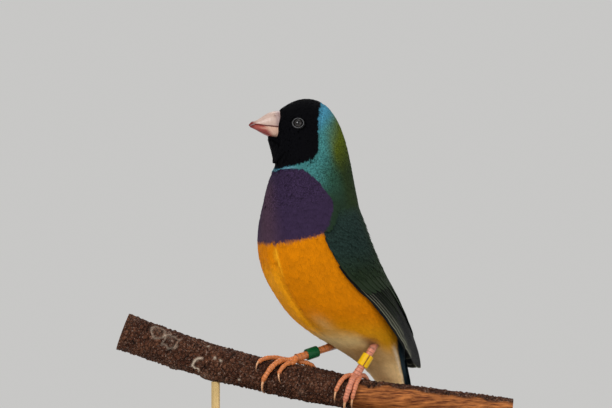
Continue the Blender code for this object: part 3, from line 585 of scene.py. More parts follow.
def plumage_finish(name, roughness, spacing, contrast, shaft, size, relief, strands,
                   speckle=0.1, **constants):
    """Feathers: their marking, darker between the barbs and paler along the shaft."""
    made, tree, shader = new_material(name, roughness, **constants)
    mark = node(tree, "ShaderNodeAttribute", attribute_name="marking")
    barbs = node(tree, "ShaderNodeGroup", {"Spacing": spacing, "Shaft": shaft},
                 node_tree=barb_tree)
    mottle = mottling(tree, size, 1.0 - speckle, 1.0 + speckle)
    lines = ranged(tree, barbs.outputs["Lines"], 1.0 - contrast, 1.0 + contrast / 2)
    combed = ranged(tree, barbs.outputs["Strands"], 1.0 - strands, 1.0 + strands, 0.3, 0.7)
    factor = math_node(tree, "MULTIPLY", lines, mottle.outputs["Factor"])
    factor = math_node(tree, "MULTIPLY", factor, combed)
    paler = math_node(tree, "MULTIPLY", barbs.outputs["Shaft"], SHAFT_PALER)
    lit = math_node(tree, "ADD", factor, paler)
    tree.links.new(scaled_colour(tree, mark.outputs["Color"], lit),
                   shader.inputs["Base Color"])
    tree.links.new(ranged(tree, mottle.outputs["Raw"], roughness - 0.08, roughness + 0.1),
                   shader.inputs["Roughness"])
    height = math_node(tree, "ADD", barbs.outputs["Lines"], barbs.outputs["Shaft"])
    embossed(tree, shader, height, relief, 0.00006)
    return made


velvet_finish = plumage_finish(
    "mask_velvet", roughness=0.85, spacing=0.12, contrast=0.25, shaft=0.0, size=700.0,
    relief=0.5, strands=0.2, Specular_IOR_Level=0.03)
contour_finish = plumage_finish(
    "contour_feathers", roughness=0.75, spacing=0.2, contrast=0.14, shaft=0.03, size=320.0,
    relief=0.5, strands=0.2, speckle=0.06, Specular_IOR_Level=0.05)
neck_finish = plumage_finish(
    "neck_feathers", roughness=0.75, spacing=0.2, contrast=0.2, shaft=0.0, size=2200.0,
    relief=0.5, strands=0.2, speckle=0.7, Specular_IOR_Level=0.05)

# A vane's half width along it as shares of its widest, and how far its corners are rounded off
VANE_SHAPE = ((0.0, 0.3, 0.62, 1.0), (0.34, 0.86, 1.0, 0.8))
VANE_ROUNDED = 0.3


def vane_template(along, across, fray):
    """A small vane's grid: place along 0 to 1 and across -1 to 1 of its points, and its faces,
    the crowned top in four-sided faces and the flat underside in longer ones."""
    u = np.repeat(np.linspace(0.0, 1.0, along + 1)[:, None], across + 1, 1)
    v = np.repeat(np.linspace(-1.0, 1.0, across + 1)[None], along + 1, 0)
    wide = np.interp(u, *VANE_SHAPE)
    u = u * (1.0 - VANE_ROUNDED * v**2 * u)
    tooth = np.zeros_like(u)
    tooth[-1] = fray * (np.arange(across + 1) % 2)
    u = u - tooth
    i, j = np.meshgrid(np.arange(along), np.arange(across), indexing="ij")
    a = i * (across + 1) + j
    b = a + across + 1
    quads = np.stack([a, b, b + 1, a + 1], -1).reshape(-1, 4)
    row = across + 1
    root = [*range(row), 2 * row - 1, row]
    sides = [[k * row, k * row + row - 1, (k + 2) * row - 1, (k + 1) * row]
             for k in range(1, along - 1)]
    tip = [(along - 1) * row, along * row - 1, *range((along + 1) * row - 1, along * row - 1, -1)]
    under = [root, *sides, tip]
    loops = np.concatenate([quads.ravel(), *[np.array(face) for face in under]])
    sizes = np.array([4] * len(quads) + [len(face) for face in under])
    rim = (np.abs(v) == 1) | (np.arange(along + 1)[:, None] == along)
    return u.ravel(), v.ravel(), (v * wide).ravel(), loops, sizes, rim.ravel()


# How far roots stray from their rows: round the body in places of the row, and down it
STRAY_ROUND, STRAY_DOWN, ROW_SAMPLES, LEAST_IN_ROW = 0.25, 0.45, 721, 3


def rooted_rows(surface, start, end, length_at, along_share, across_share, turn_range):
    """Roots in staggered rows over a surface, closer where the feathers are short."""
    places, angles = [], []
    place, odd = start, 0
    ring = np.linspace(*turn_range, ROW_SAMPLES)
    while place < end:
        length = float(length_at(place))
        _, down, over, _ = laid_on(surface, np.full_like(ring, place), ring)
        slope = np.linalg.norm(down, axis=-1)
        girth = np.concatenate([[0.0], np.cumsum(
            (np.linalg.norm(over, axis=-1)[1:]) * np.diff(ring))])
        count = max(int(girth[-1] / (length * across_share)), LEAST_IN_ROW)
        stray = draw.uniform(-STRAY_ROUND, STRAY_ROUND, count)
        spots = (np.arange(count) + 0.5 * odd + stray) / count
        around = np.interp(np.clip(spots, 0, 1) * girth[-1], girth, ring)
        slope_here = np.interp(around, ring, slope)
        step = length * along_share / slope.max()
        keep = draw.random(count) < slope_here / slope.max()
        stray = draw.uniform(-STRAY_DOWN, STRAY_DOWN, count)
        places.append(place + step * stray[keep])
        angles.append(around[keep])
        place += step
        odd = 1 - odd
    return np.concatenate(places), np.concatenate(angles)


# How unevenly feathers lie: their lift, their height, their roll and their shade
LOOSE_LIFT, LOOSE_HEIGHT, LOOSE_ROLL, LOOSE_SHADE = 0.6, 0.05, 0.042, 0.06
RISE_BY, CROWN = 0.5, 0.11
# Darker at the root: the greyer down there, and painted shade where the feathers before it cover
# it
ROOT_SHADE = ((0.0, 0.45, 0.8), (0.5, 0.85, 1.0))
SHOWN_FROM, SHOWN_STRAY = 0.6, 0.06


def lay_feathers(name, surface, roots, tips, half_widths, depths, finish, template, colours,
                 lift=0.08, base=0.0):
    """Feathers from their roots to their tips, both (places, angles) on a surface, as one piece.
    They rise from the skin, which is their depth inside, and lie on the surface."""
    u, v, wide, loops, sizes, rim = template
    count, corners = len(roots[0]), len(u)
    loose = draw.uniform(-1.0, 1.0, (3, count, 1))
    place = roots[0][:, None] + (tips[0] - roots[0])[:, None] * u
    angle = roots[1][:, None] + (tips[1] - roots[1])[:, None] * u
    _, _, over, _ = laid_on(surface, place, angle)
    angle = angle + wide * half_widths[:, None] / np.maximum(np.linalg.norm(over, axis=-1), 1.0)
    here, _, _, out = laid_on(surface, place, angle)
    height = base + (fade(0.0, RISE_BY, u) - 1.0) * depths[:, None]
    height = height + lift * u**2 * (1.0 + LOOSE_LIFT * loose[0]) + LOOSE_HEIGHT * loose[1]
    height = height + CROWN * half_widths[:, None] * (1.0 - v**2) * (0.35 + 0.65 * u)
    height = height + LOOSE_ROLL * loose[2] * v * half_widths[:, None]
    points = (here + height[..., None] * out).reshape(-1, 3)
    start = (np.arange(count) * corners)[:, None]
    all_loops = (loops + start).ravel()
    length = np.linalg.norm(surface(*tips) - surface(*roots), axis=-1)[:, None]
    vane = np.stack([wide * half_widths[:, None], u * length], -1).reshape(-1, 2)
    low = np.array([min(roots[0]), min(roots[1])])
    high = np.array([max(roots[0]), max(roots[1])])
    spot = (np.stack(roots[:2], -1) - low) / (high - low) * MAP_SHARE + MAP_MARGIN
    patch = spot[:, None] + PATCH * np.stack([u - 0.5, v * 0.5], -1)
    shade = 1.0 + LOOSE_SHADE * draw.uniform(-1.0, 1.0, (count, 1, 1))
    # Darker towards the root, partly greyer down and partly painted shade
    tone = np.interp(u, *ROOT_SHADE)
    # Each feather shows the marking of the place that its open part lies on
    shown = np.maximum(u, SHOWN_FROM) + SHOWN_STRAY * loose[0]
    marked = colours(roots[0][:, None] + (tips[0] - roots[0])[:, None] * shown, angle)
    marked = marked * shade * tone[None, :, None]
    made = new_mesh(name, points, all_loops, np.tile(sizes, count), finish,
                    marked.reshape(-1, 3),
                    [("OFBake", patch[..., ::-1].reshape(-1, 2)), ("Vane", vane)],
                    np.tile(rim, count))
    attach(made, "root")
    return made


# The eye in the head's own frame, the bare oval round it as half sizes and how far out it counts
EYE, EYE_OVAL, EYE_CLEAR = (8.8, 8.4, 131.55), (1.05, 0.97), 2.05
CHEEK_LEFT, HEAD_PART = 4.0, 2.6
# How far under the chin's line feathers may reach beside the bill, and below what height
CHIN_COVER, MOUTH_UP = ((BILL_ROOT, 17.0, 18.8), (1.9, 1.0, 0.3)), 131.0
FACE_PART = 0.7
FEATHER_PLACES = (0.0, 0.25, 0.7, 1.3, 2.2, 3.0, 3.8, 4.8, 5.8, 7.0, 8.5, 10.0, 11.0, 12.0)
FEATHER_LENGTHS = (0.9, 1.2, 1.6, 2.0, 2.4, 2.8, 3.6, 4.3, 4.8, 5.5, 6.2, 7.0, 6.4, 5.0)


def feather_length(place):
    return np.interp(place, FEATHER_PLACES, FEATHER_LENGTHS)


WING_FRONT, WING_TIP = 5.35, 10.2
# The wing's lower and upper edge: degrees at its front, how many more to its tip, and bend
WING_LOWER, WING_UPPER = (69.0, 92.0, 1.9), (136.0, 42.0, 0.55)
# The body under a wing that needs no feathers: in from its edges in degrees, and its places
HIDDEN_LOWER, HIDDEN_UPPER = math.radians(13), math.radians(9)
HIDDEN_FROM, HIDDEN_TO = WING_FRONT + 0.75, 9.6


def wing_limits(place):
    """The angles of a folded wing's lower and upper edge at a place down the body."""
    along = np.maximum((place - WING_FRONT) / (WING_TIP - WING_FRONT), 0.0)
    lower = WING_LOWER[0] + WING_LOWER[1] * along ** WING_LOWER[2]
    upper = WING_UPPER[0] + WING_UPPER[1] * np.minimum(along, 1.0) ** WING_UPPER[2]
    return np.radians(lower), np.radians(upper)


def under_wing(place, angle):
    """Where the folded wings hide the body, so that no feathers are needed there."""
    side = np.abs(np.arctan2(np.sin(angle), np.cos(angle)))
    lower, upper = wing_limits(place)
    inside = (side > lower + HIDDEN_LOWER) & (side < upper - HIDDEN_UPPER)
    return inside & (place > HIDDEN_FROM) & (place < HIDDEN_TO)


def clear_of_face(place, root, tip):
    """Whether feathers leave the bill and the bare rim round the eye free, all along."""
    forward, _, up = head_frame(body_surface(*root))
    keep = ~((forward > bill_root(up) - BILL_TUCK / 2)
             & (up > np.interp(forward, *CHIN_LINE) - BILL_TUCK) & (place < FACE_PART))
    for share in (0.0, 0.5, 1.0):
        at = body_surface(*(start + (end - start) * share for start, end in zip(root, tip)))
        forward, left, up = head_frame(at)
        cover = np.interp(forward, *CHIN_COVER)
        keep &= ~((forward > bill_root(up) - BILL_TUCK)
                  & (up > np.interp(forward, *CHIN_LINE) - cover) & (up < MOUTH_UP))
        from_eye = np.hypot((forward - EYE[0]) / EYE_OVAL[0], (up - EYE[2]) / EYE_OVAL[1])
        keep &= (from_eye > EYE_CLEAR) | (np.abs(left) < CHEEK_LEFT) | (place > HEAD_PART)
    return keep


# How much feathers differ in length, and their half width as a share of it
LENGTH_STRAY, SLENDER = 0.14, 0.27


def coat(name, start, end, finish, template, density, loose=0.1, only=None, lift=0.08):
    """Contour feathers between two places down the body. density is the share of a length
    between rows and between roots, and loose how far the feathers stray from straight down."""
    place, angle = rooted_rows(body_surface, start, end, feather_length, *density,
                               (0.0, 2 * math.pi))
    stray = draw.uniform(1.0 - LENGTH_STRAY, 1.0 + LENGTH_STRAY, len(place))
    length = feather_length(place) * stray
    _, down, over, _ = laid_on(body_surface, place, angle)
    yaw = draw.normal(0.0, loose, len(place))
    tip_place = place + np.cos(yaw) * length / np.linalg.norm(down, axis=-1)
    tip_angle = angle + np.sin(yaw) * length / np.linalg.norm(over, axis=-1)
    keep = clear_of_face(place, (place, angle), (tip_place, tip_angle))
    keep &= ~under_wing(place, angle) & (tip_place < BODY_END + 0.5)
    if only is not None:
        keep &= only(place, angle)
    place, angle, length = place[keep], angle[keep], length[keep]
    tip_place, tip_angle = tip_place[keep], tip_angle[keep]
    made = lay_feathers(
        name, body_surface, (place, angle), (tip_place, tip_angle), SLENDER * length,
        np.interp(place, COAT_PLACES, COAT_DEPTHS), finish, template, markings, lift=lift)


def masked(place, angle, ahead):
    """Whether the marking a little further down is the mask's black."""
    return markings(place + ahead, angle).max(-1) < 0.02


short_vane = vane_template(4, 3, 0.14)
contour_vane = vane_template(3, 6, 0.1)
breast_vane = vane_template(4, 6, 0.08)

coat("plumage_mask", 0.02, 2.9, velvet_finish, short_vane, (0.26, 0.24),
     only=lambda place, angle: masked(place, angle, 0.12))
coat("plumage_crown_neck", 1.7, 4.3, neck_finish, contour_vane,
     (0.2, 0.24), only=lambda place, angle: ~masked(place, angle, 0.03))
coat("plumage_breast", 4.1, 6.1, contour_finish, breast_vane, (0.2, 0.23),
     loose=0.06)
coat("plumage_belly", 5.9, 8.6, contour_finish, breast_vane, (0.2, 0.23),
     lift=0.1, loose=0.07)

# The collar: small bright feathers in three close rows where the mask ends on the throat
COLLAR_REACH, COLLAR_STEP, COLLAR_STRAY = 76, 1.7, 0.3
COLLAR_ROWS, ROW_SHIFT, ROW_BACK = 3, 0.6, 0.4
COLLAR_HALF_WIDTH, COLLAR_DEPTH, COLLAR_LIFT = 0.32, 0.35, 0.22
collar_side = np.radians(np.concatenate([
    np.arange(-COLLAR_REACH, COLLAR_REACH + 0.1, COLLAR_STEP) + ROW_SHIFT * k
    for k in range(COLLAR_ROWS)]))
collar_row = np.repeat(ROW_BACK * np.arange(COLLAR_ROWS), len(collar_side) // COLLAR_ROWS)
collar_side = collar_side + np.radians(draw.uniform(-COLLAR_STRAY, COLLAR_STRAY,
                                                    len(collar_side)))
collar_turn = np.degrees(np.abs(collar_side))
collar_tip = np.interp(collar_turn, *COLLAR_END) + 0.02 - 0.05 * collar_row
collar_root = np.interp(collar_turn, *MASK_EDGE) - 0.04 - 0.05 * collar_row


def collar_colour(place, angle):
    return blend(COLLAR_LIGHT, NECK_TURQUOISE, fade(45, 75, np.degrees(np.abs(angle))))


collar = lay_feathers(
    "plumage_collar", body_surface, (collar_root, collar_side), (collar_tip, collar_side),
    np.full(len(collar_side), COLLAR_HALF_WIDTH), np.full(len(collar_side), COLLAR_DEPTH),
    contour_finish, short_vane, collar_colour, lift=COLLAR_LIFT)
coat("plumage_vent", 8.4, 11.9, contour_finish, contour_vane, (0.17, 0.21),
     lift=0.14, loose=0.14)


# The folded wings. Under them lies a thin bed, the wing's own flesh. Long vanes lie on it in
# tiers as on the bird, each inner one over the next outer one: primaries, secondaries and
# tertials, then a row of coverts, and small scale-like feathers from the shoulder to the bend.

WING_STATIONS = [
    # as BODY_STATIONS, from the shoulder to beyond the wing's tip
    (20.6, 104.3, -11.0, 118.4, 13.0, 24.0),
    (22.6, 97.0, -12.8, 106.8, 16.0, 32.0),
    (23.4, 88.8, -15.8, 94.8, 18.1, BODY_TURN),
    (20.8, 77.2, -22.0, 82.0, 18.9, BODY_TURN),
    (12.5, 66.2, -29.2, 70.6, 18.0, BODY_TURN),
    (-1.5, 57.0, -35.4, 60.4, 14.4, BODY_TURN),
    (-15.0, 48.6, -40.8, 50.8, 9.2, BODY_TURN),
    (-25.0, 39.5, -45.0, 41.2, 6.0, BODY_TURN),
]
WING_FIRST = 4.0
# The bed's heights over the wing's own form, its places and shares across, rows and columns
BED_HEIGHTS, BED_PLACES, BED_SHARES = (-1.05, -0.3), (WING_FRONT, 9.6), (0.08, 0.95)
BED_ROWS, BED_COLUMNS, BED_SHADE, BED_ROUND = 40, 26, 0.6, 0.5
WING_TEAL = paint(32, 48, 44)
WING_GREEN = paint(30, 42, 26)
WING_FRINGE = paint(50, 64, 36)
FLIGHT_BLACK = paint(11, 12, 12)
FLIGHT_EDGE = paint(150, 152, 130)
wing_row = curve_through(WING_STATIONS)
wing_surface = oval_surface(lambda place: wing_row(place - WING_FIRST))

flight_finish = plumage_finish(
    "flight_feathers", roughness=0.55, spacing=0.24, contrast=0.2, shaft=0.09, size=220.0,
    relief=0.45, strands=0.12, Specular_IOR_Level=0.08)


def wing_angle(place, share, side):
    lower, upper = wing_limits(place)
    return side * (lower + (upper - lower) * share)


def on_wing(place, share, height, side):
    """Points over a folded wing, side 1 the left and -1 the right, and the way out there."""
    here, _, _, out = laid_on(wing_surface, place, wing_angle(place, share, side))
    return here + np.asarray(height)[..., None] * out, out


def wing_bed(side, name):
    """The wing's own flesh, a curved slab with a rounded front."""
    places = np.linspace(*BED_PLACES, BED_ROWS)
    place, share = np.meshgrid(places, np.linspace(*BED_SHARES, BED_COLUMNS), indexing="ij")
    rear = (place - places[0]) / (places[-1] - places[0])
    corner = np.abs(2 * share - 1) ** 3 * np.maximum(0, 1 - (place - WING_FRONT) / 2) ** 3
    drawn = place + BED_ROUND * corner - 0.9 * rear**4 * share**2
    front = np.minimum(1.0, (place - WING_FRONT) / BED_ROUND)
    upper, _ = on_wing(drawn, share, BED_HEIGHTS[1] - (1.0 - front) * 0.6, side)
    lower, _ = on_wing(drawn, share, np.full_like(place, BED_HEIGHTS[0]), side)
    rings = np.concatenate([upper, lower[:, ::-1]], axis=1)
    count = rings.shape[0] * rings.shape[1] + 2
    spot = np.stack([np.concatenate([share, share[:, ::-1]], 1) * 0.9 + 0.05,
                     np.concatenate([place, place], 1) / 10.0], -1).reshape(-1, 2)
    spot = np.concatenate([spot, [[0.5, 0.5], [0.5, 0.98]]])
    bed = tube(name, rings, skin_finish, flip=side > 0,
               colours=np.tile(WING_GREEN * BED_SHADE, (count, 1)), maps=[("SkinMap", spot)])
    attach(bed, "root")


# Places across a vane, ragged only at its edges, with the shaft raised in the middle
ACROSS = np.array([-1.0, -0.93, -0.6, -0.25, -0.05, 0.0, 0.05, 0.25, 0.6, 0.93, 1.0])
RAGGED, RAGGED_FROM, SHAFT_HEIGHT, SHAFT_TIP = 0.035, 0.9, 0.09, 0.25
EDGE_THINNER, VANE_CROWN = 0.75, 0.1
# A vane's width: its root's share, how fast it gets full, where its tip begins, its least
VANE_ROOT, VANE_SPREAD, TIP_FROM, TIP_LEAST = 0.62, 1.3, 0.62, 0.04
CELL_MARGIN, CELL_SHARE = 0.1, 0.8


def long_vane(points, outs, halves, thick, tilt):
    """The upper and lower side of a long feather along its middle line, with a raised shaft.
    halves are its half widths on both sides of the shaft."""
    along = unit(np.gradient(points, axis=0))
    side = unit(np.cross(outs, along))
    outs = np.cross(along, side)
    lean = math.radians(tilt)
    over = math.cos(lean) * side + math.sin(lean) * outs
    rise = math.cos(lean) * outs - math.sin(lean) * side
    across = np.where(ACROSS > 0, halves[0][:, None] * ACROSS, halves[1][:, None] * ACROSS)
    ragged = RAGGED * draw.standard_normal((len(points), 1)) * (np.abs(ACROSS) > RAGGED_FROM)
    across = across * (1.0 + ragged)
    taper = np.linspace(1.0, SHAFT_TIP, len(points))[:, None]
    top = -VANE_CROWN * np.abs(across) + SHAFT_HEIGHT * (ACROSS == 0) * taper
    upper = points[:, None] + over[:, None] * across[..., None] + rise[:, None] * top[..., None]
    depth = thick * (1.0 - EDGE_THINNER * np.abs(ACROSS))[None, :, None]
    return upper, upper - rise[:, None] * depth, across


def vane_faces(rows, columns):
    """Faces of a closed vane: upper grid, then lower grid, and the four rims."""
    i, j = np.meshgrid(np.arange(rows - 1), np.arange(columns - 1), indexing="ij")
    a = (i * columns + j).ravel()
    b, low = a + columns, rows * columns
    quads = [np.stack([a, b, b + 1, a + 1], -1),
             np.stack([a, a + 1, b + 1, b], -1) + low]
    i = np.arange(rows - 1) * columns
    quads.append(np.stack([i, i + low, i + low + columns, i + columns], -1))
    i = i + columns - 1
    quads.append(np.stack([i, i + columns, i + low + columns, i + low], -1))
    j = np.arange(columns - 1)
    quads.append(np.stack([j, j + 1, j + 1 + low, j + low], -1))
    j = j + (rows - 1) * columns
    quads.append(np.stack([j, j + low, j + 1 + low, j + 1], -1))
    return np.concatenate(quads)


def vane_outline(along, sharp):
    """Share of a vane's full width: quickly wide at the root, rounded in at the tip."""
    root = np.minimum(1.0, VANE_ROOT + VANE_SPREAD * along)
    tip = np.clip((along - TIP_FROM) / (1.0 - TIP_FROM), 0.0, 1.0)
    return root * np.maximum(TIP_LEAST, (1.0 - tip**2) ** sharp)


def long_vanes(name, vanes, replaced=()):
    """One piece of many long feathers. Each has its middle line, ways out, half widths,
    thickness, tilt, the colours of its web and of its fringe, and the side of its fringe."""
    points, loops, colours, patches, maps = [], [], [], [], []
    start, columns = 0, len(ACROSS)
    grid = math.ceil(math.sqrt(len(vanes)))
    for number, one in enumerate(vanes):
        upper, lower, across = long_vane(one["line"], one["outs"], one["halves"],
                                         one["thick"], one["tilt"])
        rows = len(upper)
        s = np.repeat(np.linspace(0, 1, rows)[:, None], columns, 1)
        v = np.repeat(ACROSS[None], rows, 0)
        rim = fade(0.9, 1.0, one["fringe_side"] * v) + fade(0.95, 1.0, s) * 0.6
        marked = blend(one["web"], one["fringe"], np.clip(rim, 0, 1) * one["fringe_share"])
        marked = marked * (1.0 + 0.08 * draw.uniform(-1, 1))
        length = np.linalg.norm(np.diff(one["line"], axis=0), axis=-1).sum()
        spot = np.stack([(number % grid + CELL_MARGIN + CELL_SHARE / 2 * (v + 1)) / grid,
                         (number // grid + CELL_MARGIN + CELL_SHARE * s) / grid], -1)
        vane = np.stack([across, s * length], -1)
        for half in (upper, lower):
            points.append(half.reshape(-1, 3))
            colours.append(marked.reshape(-1, 3))
            patches.append(spot.reshape(-1, 2))
            maps.append(vane.reshape(-1, 2))
        loops.append((vane_faces(rows, columns) + start).ravel())
        start += 2 * rows * columns
    loops = np.concatenate(loops)
    made = new_mesh(name, np.concatenate(points), loops, np.full(len(loops) // 4, 4),
                    flight_finish, np.concatenate(colours),
                    [("OFBake", np.concatenate(patches)), ("Vane", np.concatenate(maps))],
                    np.tile(np.abs(ACROSS) == 1.0, start // columns))
    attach(made, "root")
    if replaced:
        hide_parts(*replaced)


WING_THICK = 0.3
# The primaries from the outermost in: how far their tips stay short of the wing's, how much
# wider their outer webs get towards the tip, and how strong their fringes are
PRIMARY_SHORT = (-0.15, -0.22, -0.12, 0.1, 0.4, 0.65, 0.9, 1.15, 1.3)
PRIMARY_DROP = (5.0, 4.7, 4.1, 3.2, 2.0, 1.2, 1.2, 1.2, 1.2)
PRIMARY_FRINGE = (0.0, 0.9, 0.8, 0.5, 0.6, 0.6, 0.6, 0.6, 0.6)
PALE_PRIMARIES, SECONDARIES, TERTIALS, COVERTS = 4, 7, 3, 10


def wing_vane(side, start, end, half, height, tilt, sharp, narrow, rows, web, fringe,
              fringe_share, upright=0.0, drop=0.0):
    """A feather of the wing from start to end, each a place and a share across the wing.
    Towards its tip it stands more upright, and its outer web gets wider by the drop."""
    s = 1.0 - (1.0 - np.linspace(0.0, 1.0, rows)) ** 1.25
    place = start[0] + (end[0] - start[0]) * s
    share = start[1] + (end[1] - start[1]) * s
    line, outs = on_wing(place, share, height[0] + (height[1] - height[0]) * s, side)
    sideways = turned(0.0, side, 0.0, BODY_TURN) - turned(0.0, 0.0, 0.0, BODY_TURN)
    outs = unit(outs + (upright * fade(0.25, 0.9, s))[:, None] * (sideways - outs))
    outline = vane_outline(s, sharp)
    outer, inner = (half + drop * fade(0.25, 0.65, s)) * outline, half * narrow * outline
    halves = (inner, outer) if side > 0 else (outer, inner)
    return {"line": line, "outs": outs, "halves": halves, "thick": WING_THICK,
            "tilt": tilt * side, "web": web, "fringe": fringe, "fringe_share": fringe_share,
            "fringe_side": -side}


def wing_tiers(side):
    """The vanes of one wing, tier by tier: the long flight feathers, and those over them."""
    flight, cover = [], []
    for k, (short, drop, fringed) in enumerate(zip(PRIMARY_SHORT, PRIMARY_DROP,
                                                   PRIMARY_FRINGE)):
        flight.append(wing_vane(
            side, (6.7, 0.03 + 0.038 * k), (WING_TIP - short, 0.12 + 0.075 * k), half=1.35,
            height=(0.0, 0.12), tilt=-13.0, sharp=0.6, narrow=1.1, rows=30, web=FLIGHT_BLACK,
            fringe=FLIGHT_EDGE if k < PALE_PRIMARIES else WING_FRINGE, fringe_share=fringed,
            upright=0.8, drop=drop))
    for k in range(SECONDARIES):
        share = 0.34 + 0.055 * k
        flight.append(wing_vane(
            side, (6.8, share), (9.3 - 0.12 * k, share + 0.2), half=1.7, height=(0.2, 0.32),
            tilt=-12.0, sharp=0.5, narrow=1.0, rows=24, web=FLIGHT_BLACK, fringe=WING_FRINGE,
            fringe_share=0.7, upright=0.6))
    for k in range(TERTIALS):
        share = 0.64 + 0.1 * k
        flight.append(wing_vane(
            side, (6.7, share), (9.3 - 0.4 * k, share + 0.08), half=2.6 - 0.2 * k,
            height=(0.35, 0.62 + 0.1 * k), tilt=-8.0, sharp=0.5, narrow=0.8, rows=24,
            web=WING_GREEN, fringe=WING_FRINGE, fringe_share=0.35))
    for k in range(COVERTS):
        share = 0.08 + 0.092 * k
        cover.append(wing_vane(
            side, (6.3, share), (7.62 - 0.015 * k, share + 0.03), half=1.7,
            height=(0.0, 0.62), tilt=-9.0, sharp=0.5, narrow=1.0, rows=16, web=WING_GREEN,
            fringe=WING_FRINGE, fringe_share=0.3))
    return flight, cover


def wing_colour(place, angle):
    """The colours of the small feathers over a wing: those of the neck run on into it."""
    teal = blend(WING_TEAL, WING_GREEN, fade(6.2, 7.2, place))
    teal = blend(teal, BACK_GREEN, fade(118, 150, np.degrees(np.abs(angle))) * 0.7)
    return blend(markings(np.minimum(place, 5.6), angle), teal, fade(4.9, 5.5, place))


# The small feathers: their places and angles on the wing, their lengths there, how far they
# keep off the purple patch, and their lift and height where they run out over the body
SMALL_PLACES, SMALL_ANGLES = (4.75, 6.75), (math.radians(66), math.radians(168))
SMALL_LENGTHS, SMALL_STRAY, SMALL_SLENDER = ((4.7, 6.8), (3.6, 5.4)), 0.12, 0.25
SMALL_SHARES, PATCH_CLEAR, PATCH_PAST = (0.04, 1.05), 6.0, 5.62
SMALL_LIFT, SMALL_BASE = ((4.8, 5.8), (0.12, 0.5)), ((4.75, 5.5), (-0.75, 0.0))
PLACE_LENGTH = 10.6


def small_coverts(side, name):
    """Scale-like feathers from the shoulder and bend to the middle of the wing."""
    place, angle = rooted_rows(
        wing_surface, *SMALL_PLACES, lambda place: np.interp(place, *SMALL_LENGTHS),
        0.17, 0.2, tuple(sorted(side * limit for limit in SMALL_ANGLES)))
    lower, upper = wing_limits(place)
    share = (np.abs(angle) - lower) / (upper - lower)
    past_patch = np.degrees(np.abs(angle)) - np.interp(place, *PATCH_SIDE)
    keep = (share > SMALL_SHARES[0]) & (share < SMALL_SHARES[1])
    keep &= (past_patch > PATCH_CLEAR) | (place > PATCH_PAST)
    place, share = place[keep], share[keep]
    stray = draw.uniform(1.0 - SMALL_STRAY, 1.0 + SMALL_STRAY, len(place))
    length = np.interp(place, *SMALL_LENGTHS) * stray
    tip_place = place + length / PLACE_LENGTH
    roots = (place, wing_angle(place, share, side))
    tips = (tip_place, wing_angle(tip_place, share + 0.01, side))
    made = lay_feathers(
        name, wing_surface, roots, tips, SMALL_SLENDER * length, np.full(len(place), 0.7),
        neck_finish, contour_vane, wing_colour,
        lift=np.interp(place, *SMALL_LIFT)[:, None], base=np.interp(place, *SMALL_BASE)[:, None])


for side, side_name in ((1, "left"), (-1, "right")):
    wing_bed(side, f"wing_bed_{side_name}")
    flight, cover = wing_tiers(side)
    long_vanes(f"flight_feathers_{side_name}", flight, [f"wing_{side_name}"])
    long_vanes(f"wing_coverts_{side_name}", cover)
    small_coverts(side, f"shoulder_feathers_{side_name}")


# The tail. Twelve tail feathers lie stacked behind the under-tail coverts, the middle pair on
# top and drawn out into thin points, with long blue coverts over their roots.

TAIL_ROOT = (-32.6, 49.0)
TAIL_DROP = 78.0
MIDDLE_LENGTH, TAIL_THICK, TAIL_PAIRS, TAIL_COVERTS = 35.5, 0.28, 6, 6
TAIL_BLACK = paint(15, 24, 30)
TAIL_BLUE = paint(22, 42, 50)


def tail_place(down, left, back):
    """Points of the tail: down it, to the bird's left, and out of its upper side."""
    lean = math.radians(TAIL_DROP)
    forward = TAIL_ROOT[0] - math.cos(lean) * down - math.sin(lean) * back
    up = TAIL_ROOT[1] - math.sin(lean) * down + math.cos(lean) * back
    return turned(forward, left, up, BODY_TURN)


def tail_vane(side, down, left, back, halves_at, tilt, rows, web, fringe_share, facing=0.0):
    """A feather of the tail between two places down, left and back, turned outwards by the
    degrees that it faces."""
    s = np.linspace(0.0, 1.0, rows)
    line = tail_place(down[0] + (down[1] - down[0]) * s,
                      side * (left[0] + (left[1] - left[0]) * s),
                      back[0] + (back[1] - back[0]) * s)
    turn = math.radians(facing)
    out = tail_place(0, side * math.sin(turn), math.cos(turn)) - tail_place(0, 0, 0)
    return {"line": line, "outs": np.repeat(unit(out)[None], rows, 0),
            "halves": (halves_at(s),) * 2, "thick": TAIL_THICK, "tilt": tilt * side,
            "web": web, "fringe": TAIL_BLUE, "fringe_share": fringe_share,
            "fringe_side": -side}


def middle_width(s):
    """The middle pair's half width: a blade that narrows into a thread-like point."""
    return np.where(s > 0.35, 1.9 * np.maximum(0.0, 1.0 - s) ** 0.8 + 0.2, 1.75)


def tail_width(s):
    return 2.0 * vane_outline(s, 0.5)


def covert_width(s):
    return 1.9 * vane_outline(s, 0.5)


tail_feathers, tail_coverts = [], []
for side in (1, -1):
    for k in range(1, TAIL_PAIRS):
        tail_feathers.append(tail_vane(
            side, (0.5, 27.5 - 0.8 * k), (0.9 + 0.3 * k, 0.9 + 0.62 * k),
            (1.7 - 0.34 * k, 1.7 - 0.34 * k), tail_width, tilt=-3.0, rows=24,
            web=TAIL_BLACK, fringe_share=0.4))
    tail_feathers.append(tail_vane(
        side, (0.5, MIDDLE_LENGTH), (0.9, 0.75), (2.0, 1.9), middle_width, tilt=0.0, rows=34,
        web=TAIL_BLACK, fringe_share=0.3))
    for k in range(TAIL_COVERTS):
        tail_coverts.append(tail_vane(
            side, (-9.0 + 0.8 * k, 13.5 - 1.4 * k), (0.6 + 0.6 * k, 0.8 + 0.5 * k),
            (2.6 - 0.55 * k, 3.6 - 0.6 * k), covert_width, tilt=-4.0, rows=16,
            web=TAIL_BLUE, fringe_share=0.6, facing=8.0 + 13.0 * k))
long_vanes("tail_feathers", tail_feathers, ["tail"])
long_vanes("tail_coverts", tail_coverts)


# The bill: a stout horny cone in two halves that meet along the mouth's line, ivory and pink
# with a red tip and red cutting edges, and a small pit for each nostril beside the forehead.

